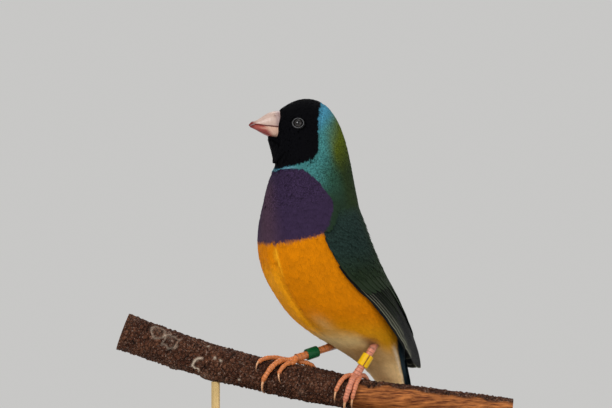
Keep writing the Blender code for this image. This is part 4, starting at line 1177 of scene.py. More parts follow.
UPPER_BILL = [
    # forward, culmen up, cutting edge up, half width
    (14.15, 135.9, 130.2, 4.05),
    (17.4, 135.35, 130.65, 3.5),
    (20.2, 133.8, 130.95, 2.65),
    (22.4, 132.45, 131.25, 1.75),
    (23.7, 132.1, 131.1, 1.0),
    (24.7, 131.15, 130.6, 0.32),
]
LOWER_BILL = [
    # forward, keel up, cutting edge up, half width
    (14.15, 125.85, 130.14, 3.8),
    (17.4, 126.8, 130.6, 3.1),
    (20.0, 127.95, 130.9, 2.25),
    (22.4, 129.3, 131.22, 1.25),
    (24.4, 130.25, 130.72, 0.24),
]
BILL_STEPS, BILL_SIDES = 70, 44
NOSTRIL, NOSTRIL_DEPTH, NOSTRIL_SIZE = (15.9, 134.2), 0.45, 0.16
# The red of the tip, of the edges and of the lower half, in millimetres forward or from an edge
TIP_RED, LOWER_TIP_RED, LOWER_RED = (21.6, 24.0), (22.4, 23.6), (17.1, 19.6)
EDGE_RED, LOWER_EDGE_RED, KEEL_RED, ROOT_MAUVE = (0.34, 0.12), (0.3, 0.1), (0.9, 2.2), (16.6, 14.8)
BILL_IVORY = paint(180, 154, 142)
BILL_MAUVE = paint(130, 104, 106)
BILL_CREAM = paint(198, 160, 140)
BILL_RED = paint(104, 20, 14)
BILL_PINK = paint(146, 62, 52)
MOUTH_RED = paint(70, 14, 10)

bill_finish = marked_finish(
    "bill_horn", 0.36, 450.0, (0.94, 1.05), (0.35, 0.00008), (0.26, 0.44),
    Specular_IOR_Level=0.35, Coat_Weight=0.08, Coat_Roughness=0.25)


def upper_bill_colour(ahead, from_edge, pit):
    colour = blend(BILL_IVORY, BILL_MAUVE, fade(*ROOT_MAUVE, ahead) * 0.7)
    red = np.maximum(fade(*TIP_RED, ahead), fade(*EDGE_RED, from_edge))
    return blend(blend(colour, BILL_RED, red), MOUTH_RED, 0.4 * pit)


def lower_bill_colour(ahead, from_edge):
    red = fade(*LOWER_RED, ahead + 0.7 * (from_edge - 1.5))
    colour = blend(BILL_CREAM, BILL_PINK, red)
    colour = blend(colour, BILL_RED, red * fade(*KEEL_RED, from_edge) * 0.8)
    streak = np.exp(-((from_edge - 1.0) / 0.3) ** 2 - ((ahead - 19.6) / 1.4) ** 2)
    colour = blend(colour, BILL_CREAM, 0.55 * streak)
    return blend(colour, BILL_RED, np.maximum(fade(*LOWER_TIP_RED, ahead),
                                              fade(*LOWER_EDGE_RED, from_edge) * 0.8))


def build_bill_half(name, rows, upper):
    place = np.linspace(0, len(rows) - 1, BILL_STEPS)
    forward, ridge, edge, half = np.moveaxis(curve_through(rows)(place), -1, 0)
    a = math.pi * np.arange(BILL_SIDES) / (BILL_SIDES - 1)
    across = np.sign(np.cos(a)) * np.abs(np.cos(a)) ** 0.8
    rise = np.abs(np.sin(a)) ** 0.95
    growth = 1.0 + 0.006 * np.sin(forward * 9.0 + 2 * np.sin(forward * 2.3))
    left = half[:, None] * across * growth[:, None]
    up = edge[:, None] + rise * (ridge - edge)[:, None]
    ahead = np.repeat(forward[:, None], BILL_SIDES, 1)
    from_edge = np.abs(up - edge[:, None])
    if upper:
        pit = np.exp(-((ahead - NOSTRIL[0]) ** 2 + (up - NOSTRIL[1]) ** 2) / NOSTRIL_SIZE)
        pit = pit * (np.abs(left) > 1.0)
        left = left - np.sign(left) * NOSTRIL_DEPTH * pit
        colour = upper_bill_colour(ahead, from_edge, pit)
    else:
        colour = lower_bill_colour(ahead, from_edge)
    rings = turned(ahead, left, up, HEAD_TURN)
    colours = np.concatenate([colour.reshape(-1, 3), [MOUTH_RED, BILL_RED]])
    bill = tube(name, rings, bill_finish, flip=not upper, colours=colours)
    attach(bill, "root")
    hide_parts("bill_upper" if upper else "bill_lower")


build_bill_half("upper_mandible", UPPER_BILL, True)
build_bill_half("lower_mandible", LOWER_BILL, False)


# The eyes: glass domes, very dark brown round a black pupil, sunk in the cheek inside a thin
# bare rim of pale grey skin, which closes on the glass all round.

EYE_OUTWARD = (0.17, 0.93, 0.31)
EYE_DEPTH, EYEBALL_RADIUS = 1.02, 1.75
EYE_SIDES, EYE_ROWS, EYE_POLE = 48, 40, 0.02
LID_OVAL, LID_SIDES = (1.06, 0.95), 144
# The pupil's edge and the iris's, as radians from the eye's axis
PUPIL_EDGE, IRIS_EDGE = (0.42, 0.5), (0.95, 0.8)
IRIS_BROWN = paint(17, 9, 7)
PUPIL_BLACK = paint(4, 4, 5)
LID_GREY = paint(104, 104, 106)
LID_DARK = paint(10, 10, 12)
LID_PROFILE = [
    # from the eye's axis, out of the eye's centre, share of the pale colour
    (1.4, 0.9, 0.0), (1.55, 1.1, 0.0), (1.68, 1.22, 0.0), (1.73, 1.29, 1.0),
    (1.77, 1.31, 1.0), (1.81, 1.29, 1.0), (1.86, 1.19, 0.0), (2.12, 0.85, 0.0),
    (2.3, 0.2, 0.0), (1.7, 0.2, 0.0),
]

eye_finish = marked_finish("eye_glass", 0.15, 1500.0, (0.75, 1.2), Specular_IOR_Level=0.2,
                           Coat_Weight=0.45, Coat_Roughness=0.02)
lid_finish = marked_finish("eye_rim_skin", 0.55, 2500.0, (0.8, 1.15), (0.5, 0.00006),
                           Specular_IOR_Level=0.35)

for side, side_name in ((1, "left"), (-1, "right")):
    head_origin = turned(0.0, 0.0, 0.0, HEAD_TURN)
    outward = unit(turned(EYE_OUTWARD[0], side * EYE_OUTWARD[1], EYE_OUTWARD[2], HEAD_TURN)
                   - head_origin)
    centre = turned(EYE[0], side * EYE[1], EYE[2], HEAD_TURN) - EYE_DEPTH * outward
    ahead = turned(1.0, 0.0, 0.0, HEAD_TURN) - head_origin
    upward = unit(np.cross(outward, ahead))
    ahead = np.cross(upward, outward)
    turn = np.linspace(0, 2 * math.pi, EYE_SIDES, endpoint=False)
    spokes = np.cos(turn)[:, None] * ahead + np.sin(turn)[:, None] * upward
    polar = np.linspace(EYE_POLE, math.pi - EYE_POLE, EYE_ROWS)
    ball = centre + EYEBALL_RADIUS * (
        np.cos(polar)[:, None, None] * outward + np.sin(polar)[:, None, None] * spokes)
    iris = fade(*PUPIL_EDGE, polar) * fade(*IRIS_EDGE, polar)
    iris = np.repeat(iris[:, None], EYE_SIDES, 1)
    iris_colour = blend(PUPIL_BLACK, IRIS_BROWN, iris)
    colours = np.concatenate([iris_colour.reshape(-1, 3), [PUPIL_BLACK, PUPIL_BLACK]])
    eye = tube(f"eyeball_{side_name}", ball, eye_finish, flip=True, colours=colours)
    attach(eye, "root")
    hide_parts(f"eye_{side_name}")

    turn = np.linspace(0, 2 * math.pi, LID_SIDES, endpoint=False)
    spokes = LID_OVAL[0] * np.cos(turn)[:, None] * ahead
    spokes = spokes + LID_OVAL[1] * np.sin(turn)[:, None] * upward
    beads = 1.0 + 0.012 * np.sin(40 * turn) + 0.006 * np.sin(11 * turn)
    profile = np.array(LID_PROFILE)
    rim = centre + (profile[:, 0][:, None, None] * spokes
                    + (profile[:, 1][:, None] * beads)[..., None] * outward)
    pale = profile[:, 2][:, None] * np.ones(LID_SIDES)
    # The last ring of the rim is its first, so that the profile closes on itself
    loops, sizes = tube_faces(len(rim) + 1, LID_SIDES, caps=False)
    loops = (loops % (len(rim) * LID_SIDES)).reshape(-1, 4)[:, ::-1].ravel()
    lids = new_mesh(f"eye_rim_{side_name}", rim.reshape(-1, 3), loops, sizes, lid_finish,
                    blend(LID_DARK, LID_GREY, pale).reshape(-1, 3))
    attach(lids, "root")


# The branch it grips, one tube with its relief in the mesh: rough dark bark with grey patches to
# the left of the bird, and bare orange-brown wood to the right, where only a strip of bark is
# left on top. Both ends are sawn across.

BRANCH_STATIONS = [
    # along, depth, middle up, radius
    (-68.0, 1.2, 59.9, 6.5),
    (-45.0, 0.6, 51.9, 5.95),
    (-20.0, 0.0, 45.0, 5.8),
    (-6.0, 0.0, 42.1, 6.05),
    (5.0, 0.0, 39.9, 5.85),
    (15.0, 0.0, 38.0, 5.35),
    (34.0, 0.2, 35.8, 5.1),
    (66.0, 0.8, 31.6, 5.0),
]
BRANCH_ENDS, BRANCH_STEPS = (-68.0, 66.0), 1401
branch_row = curve_through(BRANCH_STATIONS)
branch_fine = branch_row(np.linspace(0, len(BRANCH_STATIONS) - 1, BRANCH_STEPS))


def branch_frame(x):
    """Middle, radius, way to the viewer and way up of the branch at places along it."""
    x = np.asarray(x, float)
    row = np.stack([np.interp(x, branch_fine[:, 0], branch_fine[:, k]) for k in range(4)], -1)
    ahead, behind = (np.stack([
        np.interp(x + half, branch_fine[:, 0], branch_fine[:, k]) for k in range(3)], -1)
        for half in (0.5, -0.5))
    along = unit(ahead - behind)
    front = unit(np.cross(along, np.array([0.0, 0.0, 1.0])))
    return row[..., :3], row[..., 3], front, np.cross(front, along)


def on_branch(x, degrees, height):
    """Points off the branch: degrees from its top towards the viewer."""
    middle, radius, front, top = branch_frame(x)
    a = np.radians(degrees)[..., None]
    away = np.asarray(radius + height)[..., None]
    return middle + away * (np.cos(a) * top + np.sin(a) * front)


def colour_mix(tree, share, first, second):
    made = node(tree, "ShaderNodeMix", data_type="RGBA")
    for key, value in ((0, share), (6, first), (7, second)):
        if isinstance(value, bpy.types.NodeSocket):
            tree.links.new(value, made.inputs[key])
        else:
            made.inputs[key].default_value = (*value, 1.0) if key else value
    return made.outputs[2]


# Light values of the branch's colours
BARK_RED, BARK_GREY, BARK_FLECK = (0.04, 0.012, 0.006), (0.2, 0.085, 0.045), (0.27, 0.2, 0.16)
CRACK_BLACK, LICHEN_PALE = (0.008, 0.005, 0.004), (0.5, 0.41, 0.32)
WOOD_DARK, WOOD_ORANGE = (0.085, 0.018, 0.005), (0.46, 0.16, 0.042)
SAWN_DARK, SAWN_PALE = (0.36, 0.2, 0.1), (0.62, 0.42, 0.25)
GRAIN_SLOPE, GRAIN_LONG, BARK_WANDER = -9.0, 0.12, 0.0016


def perch_finish():
    """Bark and bare wood in one finish. The mesh marks bare wood in red, pale lichen in green
    and cracks in blue."""
    made, tree, shader = new_material("bark_and_wood", 0.85, Specular_IOR_Level=0.12)
    mark = node(tree, "ShaderNodeAttribute", attribute_name="marking")
    bare, lichen, cracked = node(tree, "ShaderNodeSeparateColor",
                                 {0: mark.outputs["Color"]}).outputs
    place = node(tree, "ShaderNodeTexCoord").outputs["Object"]
    long_grain = node(tree, "ShaderNodeMapping", {
        0: place, "Rotation": (0.0, math.radians(GRAIN_SLOPE), 0.0),
        "Scale": (GRAIN_LONG, 1.0, 1.0)})
    grain = placed_noise(tree, long_grain.outputs[0], 1500.0, 6.0, 0.65).outputs["Fac"]
    patch = mottling(tree, 160.0, 0.0, 1.0)
    speck = mottling(tree, 1000.0, 0.0, 1.0)
    wander = placed_noise(tree, place, 900.0, 3.0)
    wandered = node(tree, "ShaderNodeVectorMath", {
        0: wander.outputs["Color"], 1: (BARK_WANDER,) * 3, 2: place}, operation="MULTIPLY_ADD")
    crackle = node(tree, "ShaderNodeTexVoronoi", {
        "Vector": wandered.outputs[0], "Scale": 640.0}, feature="DISTANCE_TO_EDGE")
    plates = ranged(tree, crackle.outputs["Distance"], 0.3, 1.0, 0.0, 0.16)
    flecks = ranged(tree, placed_noise(tree, place, 1700.0, 3.0).outputs["Fac"],
                    0.0, 0.75, 0.58, 0.72)
    grey_share = math_node(tree, "MULTIPLY", patch.outputs["Factor"], speck.outputs["Factor"],
                           clamp=True)
    bark = colour_mix(tree, grey_share, BARK_RED, BARK_GREY)
    bark = scaled_colour(tree, bark, ranged(tree, grain, 0.3, 1.6))
    bark = scaled_colour(tree, bark, plates)
    bark = colour_mix(tree, flecks, bark, BARK_FLECK)
    bark = colour_mix(tree, cracked, bark, CRACK_BLACK)
    lichen_share = math_node(tree, "MULTIPLY", lichen, 0.5, clamp=True)
    bark = colour_mix(tree, lichen_share, bark, LICHEN_PALE)
    streaks = ranged(tree, grain, 0.0, 1.0, 0.36, 0.64)
    wood = colour_mix(tree, streaks, WOOD_DARK, WOOD_ORANGE)
    wood = scaled_colour(tree, wood, ranged(tree, patch.outputs["Raw"], 0.55, 1.35))
    tree.links.new(colour_mix(tree, bare, bark, wood), shader.inputs["Base Color"])
    tree.links.new(ranged(tree, bare, 0.92, 0.6), shader.inputs["Roughness"])
    on_bark = math_node(tree, "MULTIPLY", plates, math_node(tree, "SUBTRACT", 1.0, bare))
    embossed(tree, shader, math_node(tree, "ADD", grain, on_bark), 0.8, 0.0004)
    return made


def sawn_finish():
    """End grain: pale wood with fine saw marks."""
    made, tree, shader = new_material("sawn_end_grain", 0.8)
    place = node(tree, "ShaderNodeTexCoord").outputs["Object"]
    saw = placed_noise(tree, place, 900.0, 5.0).outputs["Fac"]
    tree.links.new(colour_mix(tree, saw, SAWN_DARK, SAWN_PALE), shader.inputs["Base Color"])
    embossed(tree, shader, saw, 0.5, 0.0002)
    return made


PERCH_ROWS, PERCH_COLUMNS = 560, 112
BARE_FROM, BARE_WAVER, BARE_SOFT = 12.5, 2.2, (-0.35, 0.35)
STRIP_MIDDLE, STRIP_REACH, STRIP_SOFT = 0.12, 0.78, (0.06, -0.06)
# Places on the branch, each (along, degrees from its top), and then for knots their size
KNOTS = ((-57.0, 40.0, 2.6), (-52.0, 58.0, 2.2), (-48.5, 168.0, 3.4), (-38.0, 150.0, 3.0),
         (-31.0, 160.0, 3.2), (30.0, 75.0, 3.0), (-6.0, 120.0, 2.2))
# and for rings of lichen their size, how far they open to the left, and their strength
LICHEN_RINGS = ((-57.0, 48.0, 2.3, 0.0, 0.45), (-52.0, 66.0, 2.4, 0.0, 0.4),
                (-40.4, 112.0, 2.3, 1.0, 1.7))
LICHEN_SPECKS = ((-33.8, 14.0), (-39.7, 38.0), (-26.8, 128.0), (-36.4, 75.0), (-34.3, 78.0))
# The flats on which the rods stand, under the branch, and millimetres to a radian round it
ROD_PLACES, ROD_SEAT, SEAT_SOFT = (-36.0, 33.0), 0.84, (4.6, 1.9)
KNOT_GIRTH, LICHEN_GIRTH, SEAT_GIRTH = 5.6, 6.0, 5.4
# Heights of the relief
RIDGE, FLAKE, FINE, CRACK, WOOD_GRAIN, BARK_DEEP, KNOT, LICHEN = (
    0.13, 0.16, 0.07, 0.5, 0.07, 0.28, 0.5, 0.12)
WAVES = 12
bark_seeds = [np.random.default_rng(k).uniform(0, 2 * math.pi, 2 * WAVES) for k in range(3)]


def ripple(along, around, seed, fine, turns):
    """Smooth uneven relief on the branch, closed round it, about -1 to 1."""
    phases = bark_seeds[seed]
    total = 0.0
    for k in range(WAVES):
        total = total + np.sin(fine * (0.5 + 0.17 * k) * along + phases[k]
                               + (1 + k % turns) * around + phases[k + WAVES]) / WAVES**0.5
    return total * 0.8


def bare_wood(along, around):
    """Where the bark is gone: right of the bird, but for a strip on top."""
    edge = BARE_FROM + BARE_WAVER * ripple(along * 0.0, around, 0, 1.0, 5)
    strip = np.cos(around - STRIP_MIDDLE) - STRIP_REACH
    strip = strip + 0.1 * ripple(along, around * 0.0, 1, 0.35, 3)
    return fade(*BARE_SOFT, along - edge) * fade(*STRIP_SOFT, strip)


def knotted(along, around):
    knots = np.zeros_like(along)
    for place, degrees, size in KNOTS:
        apart = np.abs((around - math.radians(degrees) + math.pi) % (2 * math.pi) - math.pi)
        far = np.hypot((along - place) / size, apart * KNOT_GIRTH / size)
        knots += np.exp(-far**2 * 3.2)
    return knots


def lichened(along, around):
    lichen = np.zeros_like(along)
    uneven = 1.0 + 0.16 * ripple(along, around * 3, 0, 1.4, 5)
    for place, degrees, size, opened, strength in LICHEN_RINGS:
        apart = (around - math.radians(degrees)) * LICHEN_GIRTH
        far = np.hypot(along - place, apart) / size * uneven
        ring = np.exp(-(((far - 1.0) / 0.17) ** 2))
        lichen += strength * ring * (1.0 - opened * fade(-0.3, 0.3, (along - place) / size))
    for place, degrees in LICHEN_SPECKS:
        apart = (around - math.radians(degrees)) * LICHEN_GIRTH
        lichen += 1.6 * np.exp(-((along - place) ** 2 + apart**2) / 0.16)
    return lichen


def build_perch():
    x = np.linspace(*BRANCH_ENDS, PERCH_ROWS)
    turn = np.linspace(0, 2 * math.pi, PERCH_COLUMNS, endpoint=False)
    along, around = np.meshgrid(x, turn, indexing="ij")
    bare, knots = bare_wood(along, around), knotted(along, around)
    lichen = lichened(along, around)
    ridges = ripple(along * 0.35, around * 4, 0, 1.0, 5) + ripple(along, around * 2, 1, 1.9, 5)
    flakes = ripple(along, around * 3, 2, 2.8, 5)
    splits = ripple(along, around, 2, 1.5, 4)
    cracks = np.exp(-((splits / 0.085) ** 2)) * fade(0.15, 0.5, ripple(along, around, 0, 0.5, 4))
    fine = ripple(along, around * 6, 1, 5.5, 4)
    bark = RIDGE * ridges + FLAKE * flakes + FINE * fine - CRACK * cracks
    wood = WOOD_GRAIN * ripple(along * 0.12, around * 6, 1, 1.0, 5)
    height = bark * (1 - bare) + (wood - BARK_DEEP) * bare + KNOT * knots
    height = height + LICHEN * lichen
    seats = sum(fade(*SEAT_SOFT, np.hypot(along - place, (around - math.pi) * SEAT_GIRTH))
                for place in ROD_PLACES)
    height = height * (1.0 - seats) + ROD_SEAT * seats
    rings = on_branch(along, np.degrees(around), height)
    marks = np.stack([bare, np.clip(0.15 * knots + 1.4 * lichen, 0, 2), cracks], -1)
    marks = np.concatenate([marks.reshape(-1, 3), [[1.0, 0.0, 0.0], [1.0, 0.0, 0.0]]])
    spot = np.stack([along / 140.0 + 0.5, around / (2 * math.pi)], -1).reshape(-1, 2)
    spot = np.concatenate([spot, [[0.0, 0.5], [1.0, 0.5]]])
    perch = tube("perch", rings, perch_finish(), colours=marks, maps=[("BranchMap", spot)])
    perch.data.materials.append(sawn_finish())
    sawn = np.arange(len(perch.data.polygons)) >= (PERCH_ROWS - 1) * PERCH_COLUMNS
    perch.data.polygons.foreach_set("material_index", sawn.astype(np.int32))
    perch.data.set_sharp_from_angle(angle=math.radians(55.0))
    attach(perch, "root")
    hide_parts("perch_branch")


build_perch()


# The legs and feet. A slim scaled shank comes out of the belly's feathers; three toes point
# forward round the branch and one back, with rows of scutes on top, and end in curved claws.

LEGS = {
    "left": {
        "ankle": (18.6, -1.6, 54.8), "pad": (11.4, 22.0, 1.5),
        "toes": [
            # root and tip, each as (along, degrees from the branch's top), radius, scutes,
            # and how far the claw turns along the branch
            ((9.4, 26.0), (5.1, 132.0), 0.84, 9, 1.0),
            ((11.0, 32.0), (9.0, 165.0), 1.08, 12, 1.1),
            ((12.8, 28.0), (11.2, 150.0), 0.84, 10, 0.8),
            ((12.6, 4.0), (16.6, -104.0), 0.88, 8, 0.0),
        ],
    },
    "right": {
        "ankle": (4.0, 6.4, 54.5), "pad": (-9.6, 2.0, 2.0),
        "toes": [
            ((-12.4, 0.0), (-23.0, 84.0), 0.82, 9, 1.0),
            ((-12.2, 16.0), (-19.8, 156.0), 1.0, 12, 2.3),
            ((-10.4, 24.0), (-15.0, 104.0), 0.8, 10, 1.9),
            ((-8.4, -8.0), (-2.2, -62.0), 0.88, 8, 0.0),
        ],
    },
}
TOE_CLEAR, TOE_END, TOE_ROWS, TOE_SIDES, TOE_JOINTS = 0.04, 0.76, 64, 18, 3
CLAW_SHARE, CLAW_FROM, CLAW_ROWS, CLAW_SIDES = 0.3, 0.66, 30, 14
WEB_RADIUS, WEB_ROWS = 1.05, 14
KNUCKLE_RADIUS, KNUCKLE_ROWS, KNUCKLE_SIDES, KNUCKLE_POLE = 1.32, 18, 22, 0.12
SHANK_RADIUS, SHANK_ROWS, SHANK_SIDES, SHANK_SCUTES = 1.3, 110, 24, 10.0
SHANK_FRONT, SHANK_PAST, SHANK_BEND = (-0.75, -0.65, 0.1), 1.5, 2.6
LEG_UP = (0.3, 1.0, 0.2)
FOOT_PINK = paint(208, 130, 102)
FOOT_ORANGE = paint(198, 116, 62)
TOE_ORANGE = (0.6, 0.05, 0.35, 0.3)
# How dark the painted shade in the seams between scutes gets
SCUTE_DARK = 0.45
CLAW_HORN = paint(204, 150, 106)
CLAW_TIP = paint(140, 98, 70)

foot_finish = marked_finish("leg_skin", 0.45, 1400.0, (0.76, 1.16), (0.6, 0.00012),
                            (0.28, 0.52), Specular_IOR_Level=0.4)
claw_finish = marked_finish("claw_horn", 0.3, 1800.0, (0.9, 1.08), Coat_Weight=0.2)


def tube_round(middles, radii, up):
    """Rings round a line of middles; radii is an array of rings by points round each."""
    along = unit(np.gradient(middles, axis=0))
    side = unit(np.cross(along, np.array(up, float)))
    rise = np.cross(side, along)
    a = 2 * math.pi * np.arange(radii.shape[1]) / radii.shape[1]
    spoke = np.cos(a)[None, :, None] * side[:, None] + np.sin(a)[None, :, None] * rise[:, None]
    return middles[:, None] + radii[..., None] * spoke


def plain_tube(middles, radii, up, sides):
    return tube_round(middles, np.repeat(radii[:, None], sides, 1), up)


def seam_shade(step, on_top, widths, least):
    """Painted shade in seams between scutes, a step from 0 to 1 along each, deeper on top than
    below.
    """
    seam = bell(step / widths[0]) + bell((step - 1.0) / widths[1])
    return 1.0 - (1.0 - SCUTE_DARK) * np.clip(seam, 0, 1) * (least + (1.0 - least) * on_top)


def toe_line(start, end, radius, s, curl):
    """The middle line of a toe with its claw, high over its root and low to its tip."""
    x = start[0] + (end[0] - start[0]) * (1 - (1 - s) ** 1.9)
    degrees = start[1] + (end[1] - start[1]) * s**1.4
    claw = np.maximum(0.0, (s - 1 + CLAW_SHARE) / CLAW_SHARE)
    x = x + curl * claw**1.5
    arch = 0.3 * np.sin(math.pi * np.minimum(s / (1 - CLAW_SHARE), 1.0))
    tip = 0.9 * np.sin(math.pi * claw) - 0.35 * claw
    height = TOE_CLEAR + radius + arch * (1 - s) + tip * radius
    return on_branch(x, degrees, np.maximum(height, TOE_CLEAR + 0.15))


def joined(name, parts, finish):
    """One piece of several closed tubes, each its rings and the colours of their points."""
    points, loops, sizes, colours, start = [], [], [], [], 0
    for rings, colour in parts:
        count, sides = rings.shape[:2]
        whole = np.concatenate([rings.reshape(-1, 3), [rings[0].mean(0), rings[-1].mean(0)]])
        part_loops, part_sizes = tube_faces(count, sides)
        centre = whole.mean(0)
        corners = whole[part_loops[:4 * (count - 1) * sides].reshape(-1, 4)] - centre
        volume = np.einsum("ij,ij->i", corners[:, 0],
                           np.cross(corners[:, 1], corners[:, 2])).sum()
        if volume < 0:
            part_loops = turned_over(part_loops, part_sizes)
        points.append(whole)
        colours.append(np.concatenate([colour.reshape(-1, 3), colour[0, :1], colour[-1, :1]]))
        loops.append(part_loops + start)
        sizes.append(part_sizes)
        start += len(whole)
    return new_mesh(name, np.concatenate(points), np.concatenate(loops),
                    np.concatenate(sizes), finish, np.concatenate(colours))


def shank_line(leg):
    """Foot end, ankle end and way up of the shank's middle line."""
    foot, ankle = on_branch(*leg["pad"]), np.array(leg["ankle"])
    return foot, ankle, unit(ankle - foot)


def scaled_toe(start, end, radius, scutes, curl, tone, up):
    """A toe's rings and their colours: swollen at its joints, with scutes on top."""
    s = np.linspace(0.0, TOE_END, TOE_ROWS)
    middles = toe_line(start, end, radius, s, curl)
    joints = np.cos(2 * math.pi * TOE_JOINTS * s / (1 - CLAW_SHARE))
    line_radius = radius * (1.0 - 0.2 * s + 0.07 * joints)
    line_radius = line_radius * np.sqrt(np.maximum(1 - fade(0.62, 0.775, s) ** 2, 0.02))
    outwards = middles - branch_frame(middles[:, 0])[0]
    rings = tube_round(middles, np.ones((TOE_ROWS, TOE_SIDES)), up)
    spoke = rings - middles[:, None]
    facing = np.einsum("ijk,ik->ij", unit(spoke), unit(outwards))
    step = (s[:, None] / TOE_END * scutes * 1.15) % 1.0
    on_top = fade(-0.15, 0.5, facing)
    creases = 0.06 * (1 - on_top) * np.cos(s[:, None] * 80.0)
    relief = 1.0 + 0.13 * step**1.6 * on_top - creases
    rings = middles[:, None] + spoke * (line_radius[:, None] * relief)[..., None]
    # Paler on the side towards the branch: a painted highlight
    pale = blend(tone, tone * 1.12, fade(0.3, -0.5, facing))
    return rings, pale * seam_shade(step, on_top, (0.12, 0.08), 0.3)[..., None]


def toe_web(pad, start, radius, tone):
    """The root of a toe, from the middle of the foot."""
    root = on_branch(*start, TOE_CLEAR + radius)
    web = np.linspace(0, 1, WEB_ROWS)[:, None]
    web_radius = WEB_RADIUS + (radius * 1.02 - WEB_RADIUS) * web[:, 0]
    rings = plain_tube(pad * (1 - web) + root * web, web_radius, LEG_UP, TOE_SIDES)
    return rings, np.ones((WEB_ROWS, TOE_SIDES, 1)) * tone


def curved_claw(start, end, radius, curl, up):
    s = np.linspace(CLAW_FROM, 1.0, CLAW_ROWS)
    c = (s - CLAW_FROM) / (1.0 - CLAW_FROM)
    claw_radius = radius * (0.5 * (1 - c) ** 0.8 + 0.05)
    rings = plain_tube(toe_line(start, end, radius, s, curl), claw_radius, up, CLAW_SIDES)
    horn = blend(CLAW_HORN, CLAW_TIP, fade(0.4, 1.0, c))[:, None]
    return rings, np.repeat(horn, CLAW_SIDES, 1)


def knuckle(pad, tone):
    """The ball of the foot, over the roots of the toes."""
    polar = np.linspace(KNUCKLE_POLE, math.pi - KNUCKLE_POLE, KNUCKLE_ROWS)
    around = np.linspace(0, 2 * math.pi, KNUCKLE_SIDES, endpoint=False)
    rings = pad + KNUCKLE_RADIUS * np.stack([
        1.12 * np.sin(polar)[:, None] * np.cos(around),
        np.sin(polar)[:, None] * np.sin(around),
        0.88 * np.cos(polar)[:, None] * np.ones(KNUCKLE_SIDES)], -1)
    return rings, np.ones((KNUCKLE_ROWS, KNUCKLE_SIDES, 1)) * tone


def bare_shank(leg, tone):
    """The shank, plated down its front, in painted shadow where it enters the belly's feathers."""
    pad, ankle, way = shank_line(leg)
    s = np.linspace(0.0, 1.0, SHANK_ROWS)
    line = pad + (ankle + way * SHANK_PAST - pad) * s[:, None]
    line[:, 1] += SHANK_BEND * fade(0.8, 1.0, s)
    swell = SHANK_RADIUS * (0.93 + 0.2 * np.abs(2 * s - 1) ** 2)
    rings = tube_round(line, np.ones((SHANK_ROWS, SHANK_SIDES)), LEG_UP)
    spoke = rings - line[:, None]
    facing = np.einsum("ijk,k->ij", unit(spoke), unit(np.array(SHANK_FRONT)))
    step = (s[:, None] * SHANK_SCUTES) % 1.0
    on_top = fade(-0.2, 0.45, facing)
    relief = 1.0 + 0.1 * (1 - step) ** 1.6 * on_top
    rings = line[:, None] + spoke * (swell[:, None] * relief)[..., None]
    # Its top darkens into painted shadow under the belly's feathers
    plain = blend(tone * 0.92, THIGH_SHADOW, 0.75 * fade(0.74, 0.92, s))[:, None]
    return rings, plain * seam_shade(step, on_top, (0.1, 0.1), 0.25)[..., None]


for side_name, leg in LEGS.items():
    tone = FOOT_PINK if side_name == "left" else FOOT_ORANGE
    pad, _, _ = shank_line(leg)
    parts, claws = [], []
    for (start, end, radius, scutes, curl), orange in zip(leg["toes"], TOE_ORANGE):
        _, _, front, _ = branch_frame((start[0] + end[0]) / 2)
        up = np.cross(front, np.array([0.0, 0.0, 1.0]))
        parts.append(scaled_toe(start, end, radius, scutes, curl,
                                blend(tone, FOOT_ORANGE, orange), up))
        parts.append(toe_web(pad, start, radius, tone))
        claws.append(curved_claw(start, end, radius, curl, up))
    parts.append(knuckle(pad, tone))
    toes = joined(f"toes_{side_name}", parts, foot_finish)
    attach(toes, "root")
    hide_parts(f"foot_{side_name}")
    nails = joined(f"claws_{side_name}", claws, claw_finish)
    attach(nails, "root")
    bare = joined(f"shank_{side_name}", [bare_shank(leg, tone)], foot_finish)
    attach(bare, "root")
    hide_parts(f"leg_{side_name}")


# The leg rings: split bands of coloured plastic sprung round each shank, thin walled, with
# rounded rims and a narrow slit along one side.

RING_INNER, RING_OUTER, RING_LENGTH = 1.55, 2.0, 4.4
RING_SLIT, RING_TURNS, RING_FOOT = 14.0, 120, 1.6
RING_PROFILE = [
    # share of the half length, share of the wall
    (-0.94, 0.0), (0.94, 0.0), (1.0, 0.25), (1.0, 0.7), (0.95, 0.93), (0.86, 1.0),
    (-0.86, 1.0), (-0.95, 0.93), (-1.0, 0.7), (-1.0, 0.25),
]


# Light values of the plastics, each clean and grimy
YELLOW_CLEAN, YELLOW_GRIMY = (0.74, 0.44, 0.004), (0.56, 0.28, 0.004)
GREEN_CLEAN, GREEN_GRIMY = (0.0015, 0.07, 0.02), (0.001, 0.04, 0.012)
GRIME_SHARE = 0.35


def ring_plastic(name, clean, grimy):
    made, tree, shader = new_material(name, 0.4, Specular_IOR_Level=0.15)
    grime = mottling(tree, 700.0, 0.0, 1.0)
    share = math_node(tree, "MULTIPLY", grime.outputs["Factor"], GRIME_SHARE, clamp=True)
    tree.links.new(colour_mix(tree, share, clean, grimy), shader.inputs["Base Color"])
    tree.links.new(ranged(tree, grime.outputs["Raw"], 0.25, 0.5), shader.inputs["Roughness"])
    place = node(tree, "ShaderNodeTexCoord").outputs["Object"]
    scratches = placed_noise(tree, place, 3000.0).outputs["Fac"]
    embossed(tree, shader, scratches, 0.15, 0.00005)
    return made


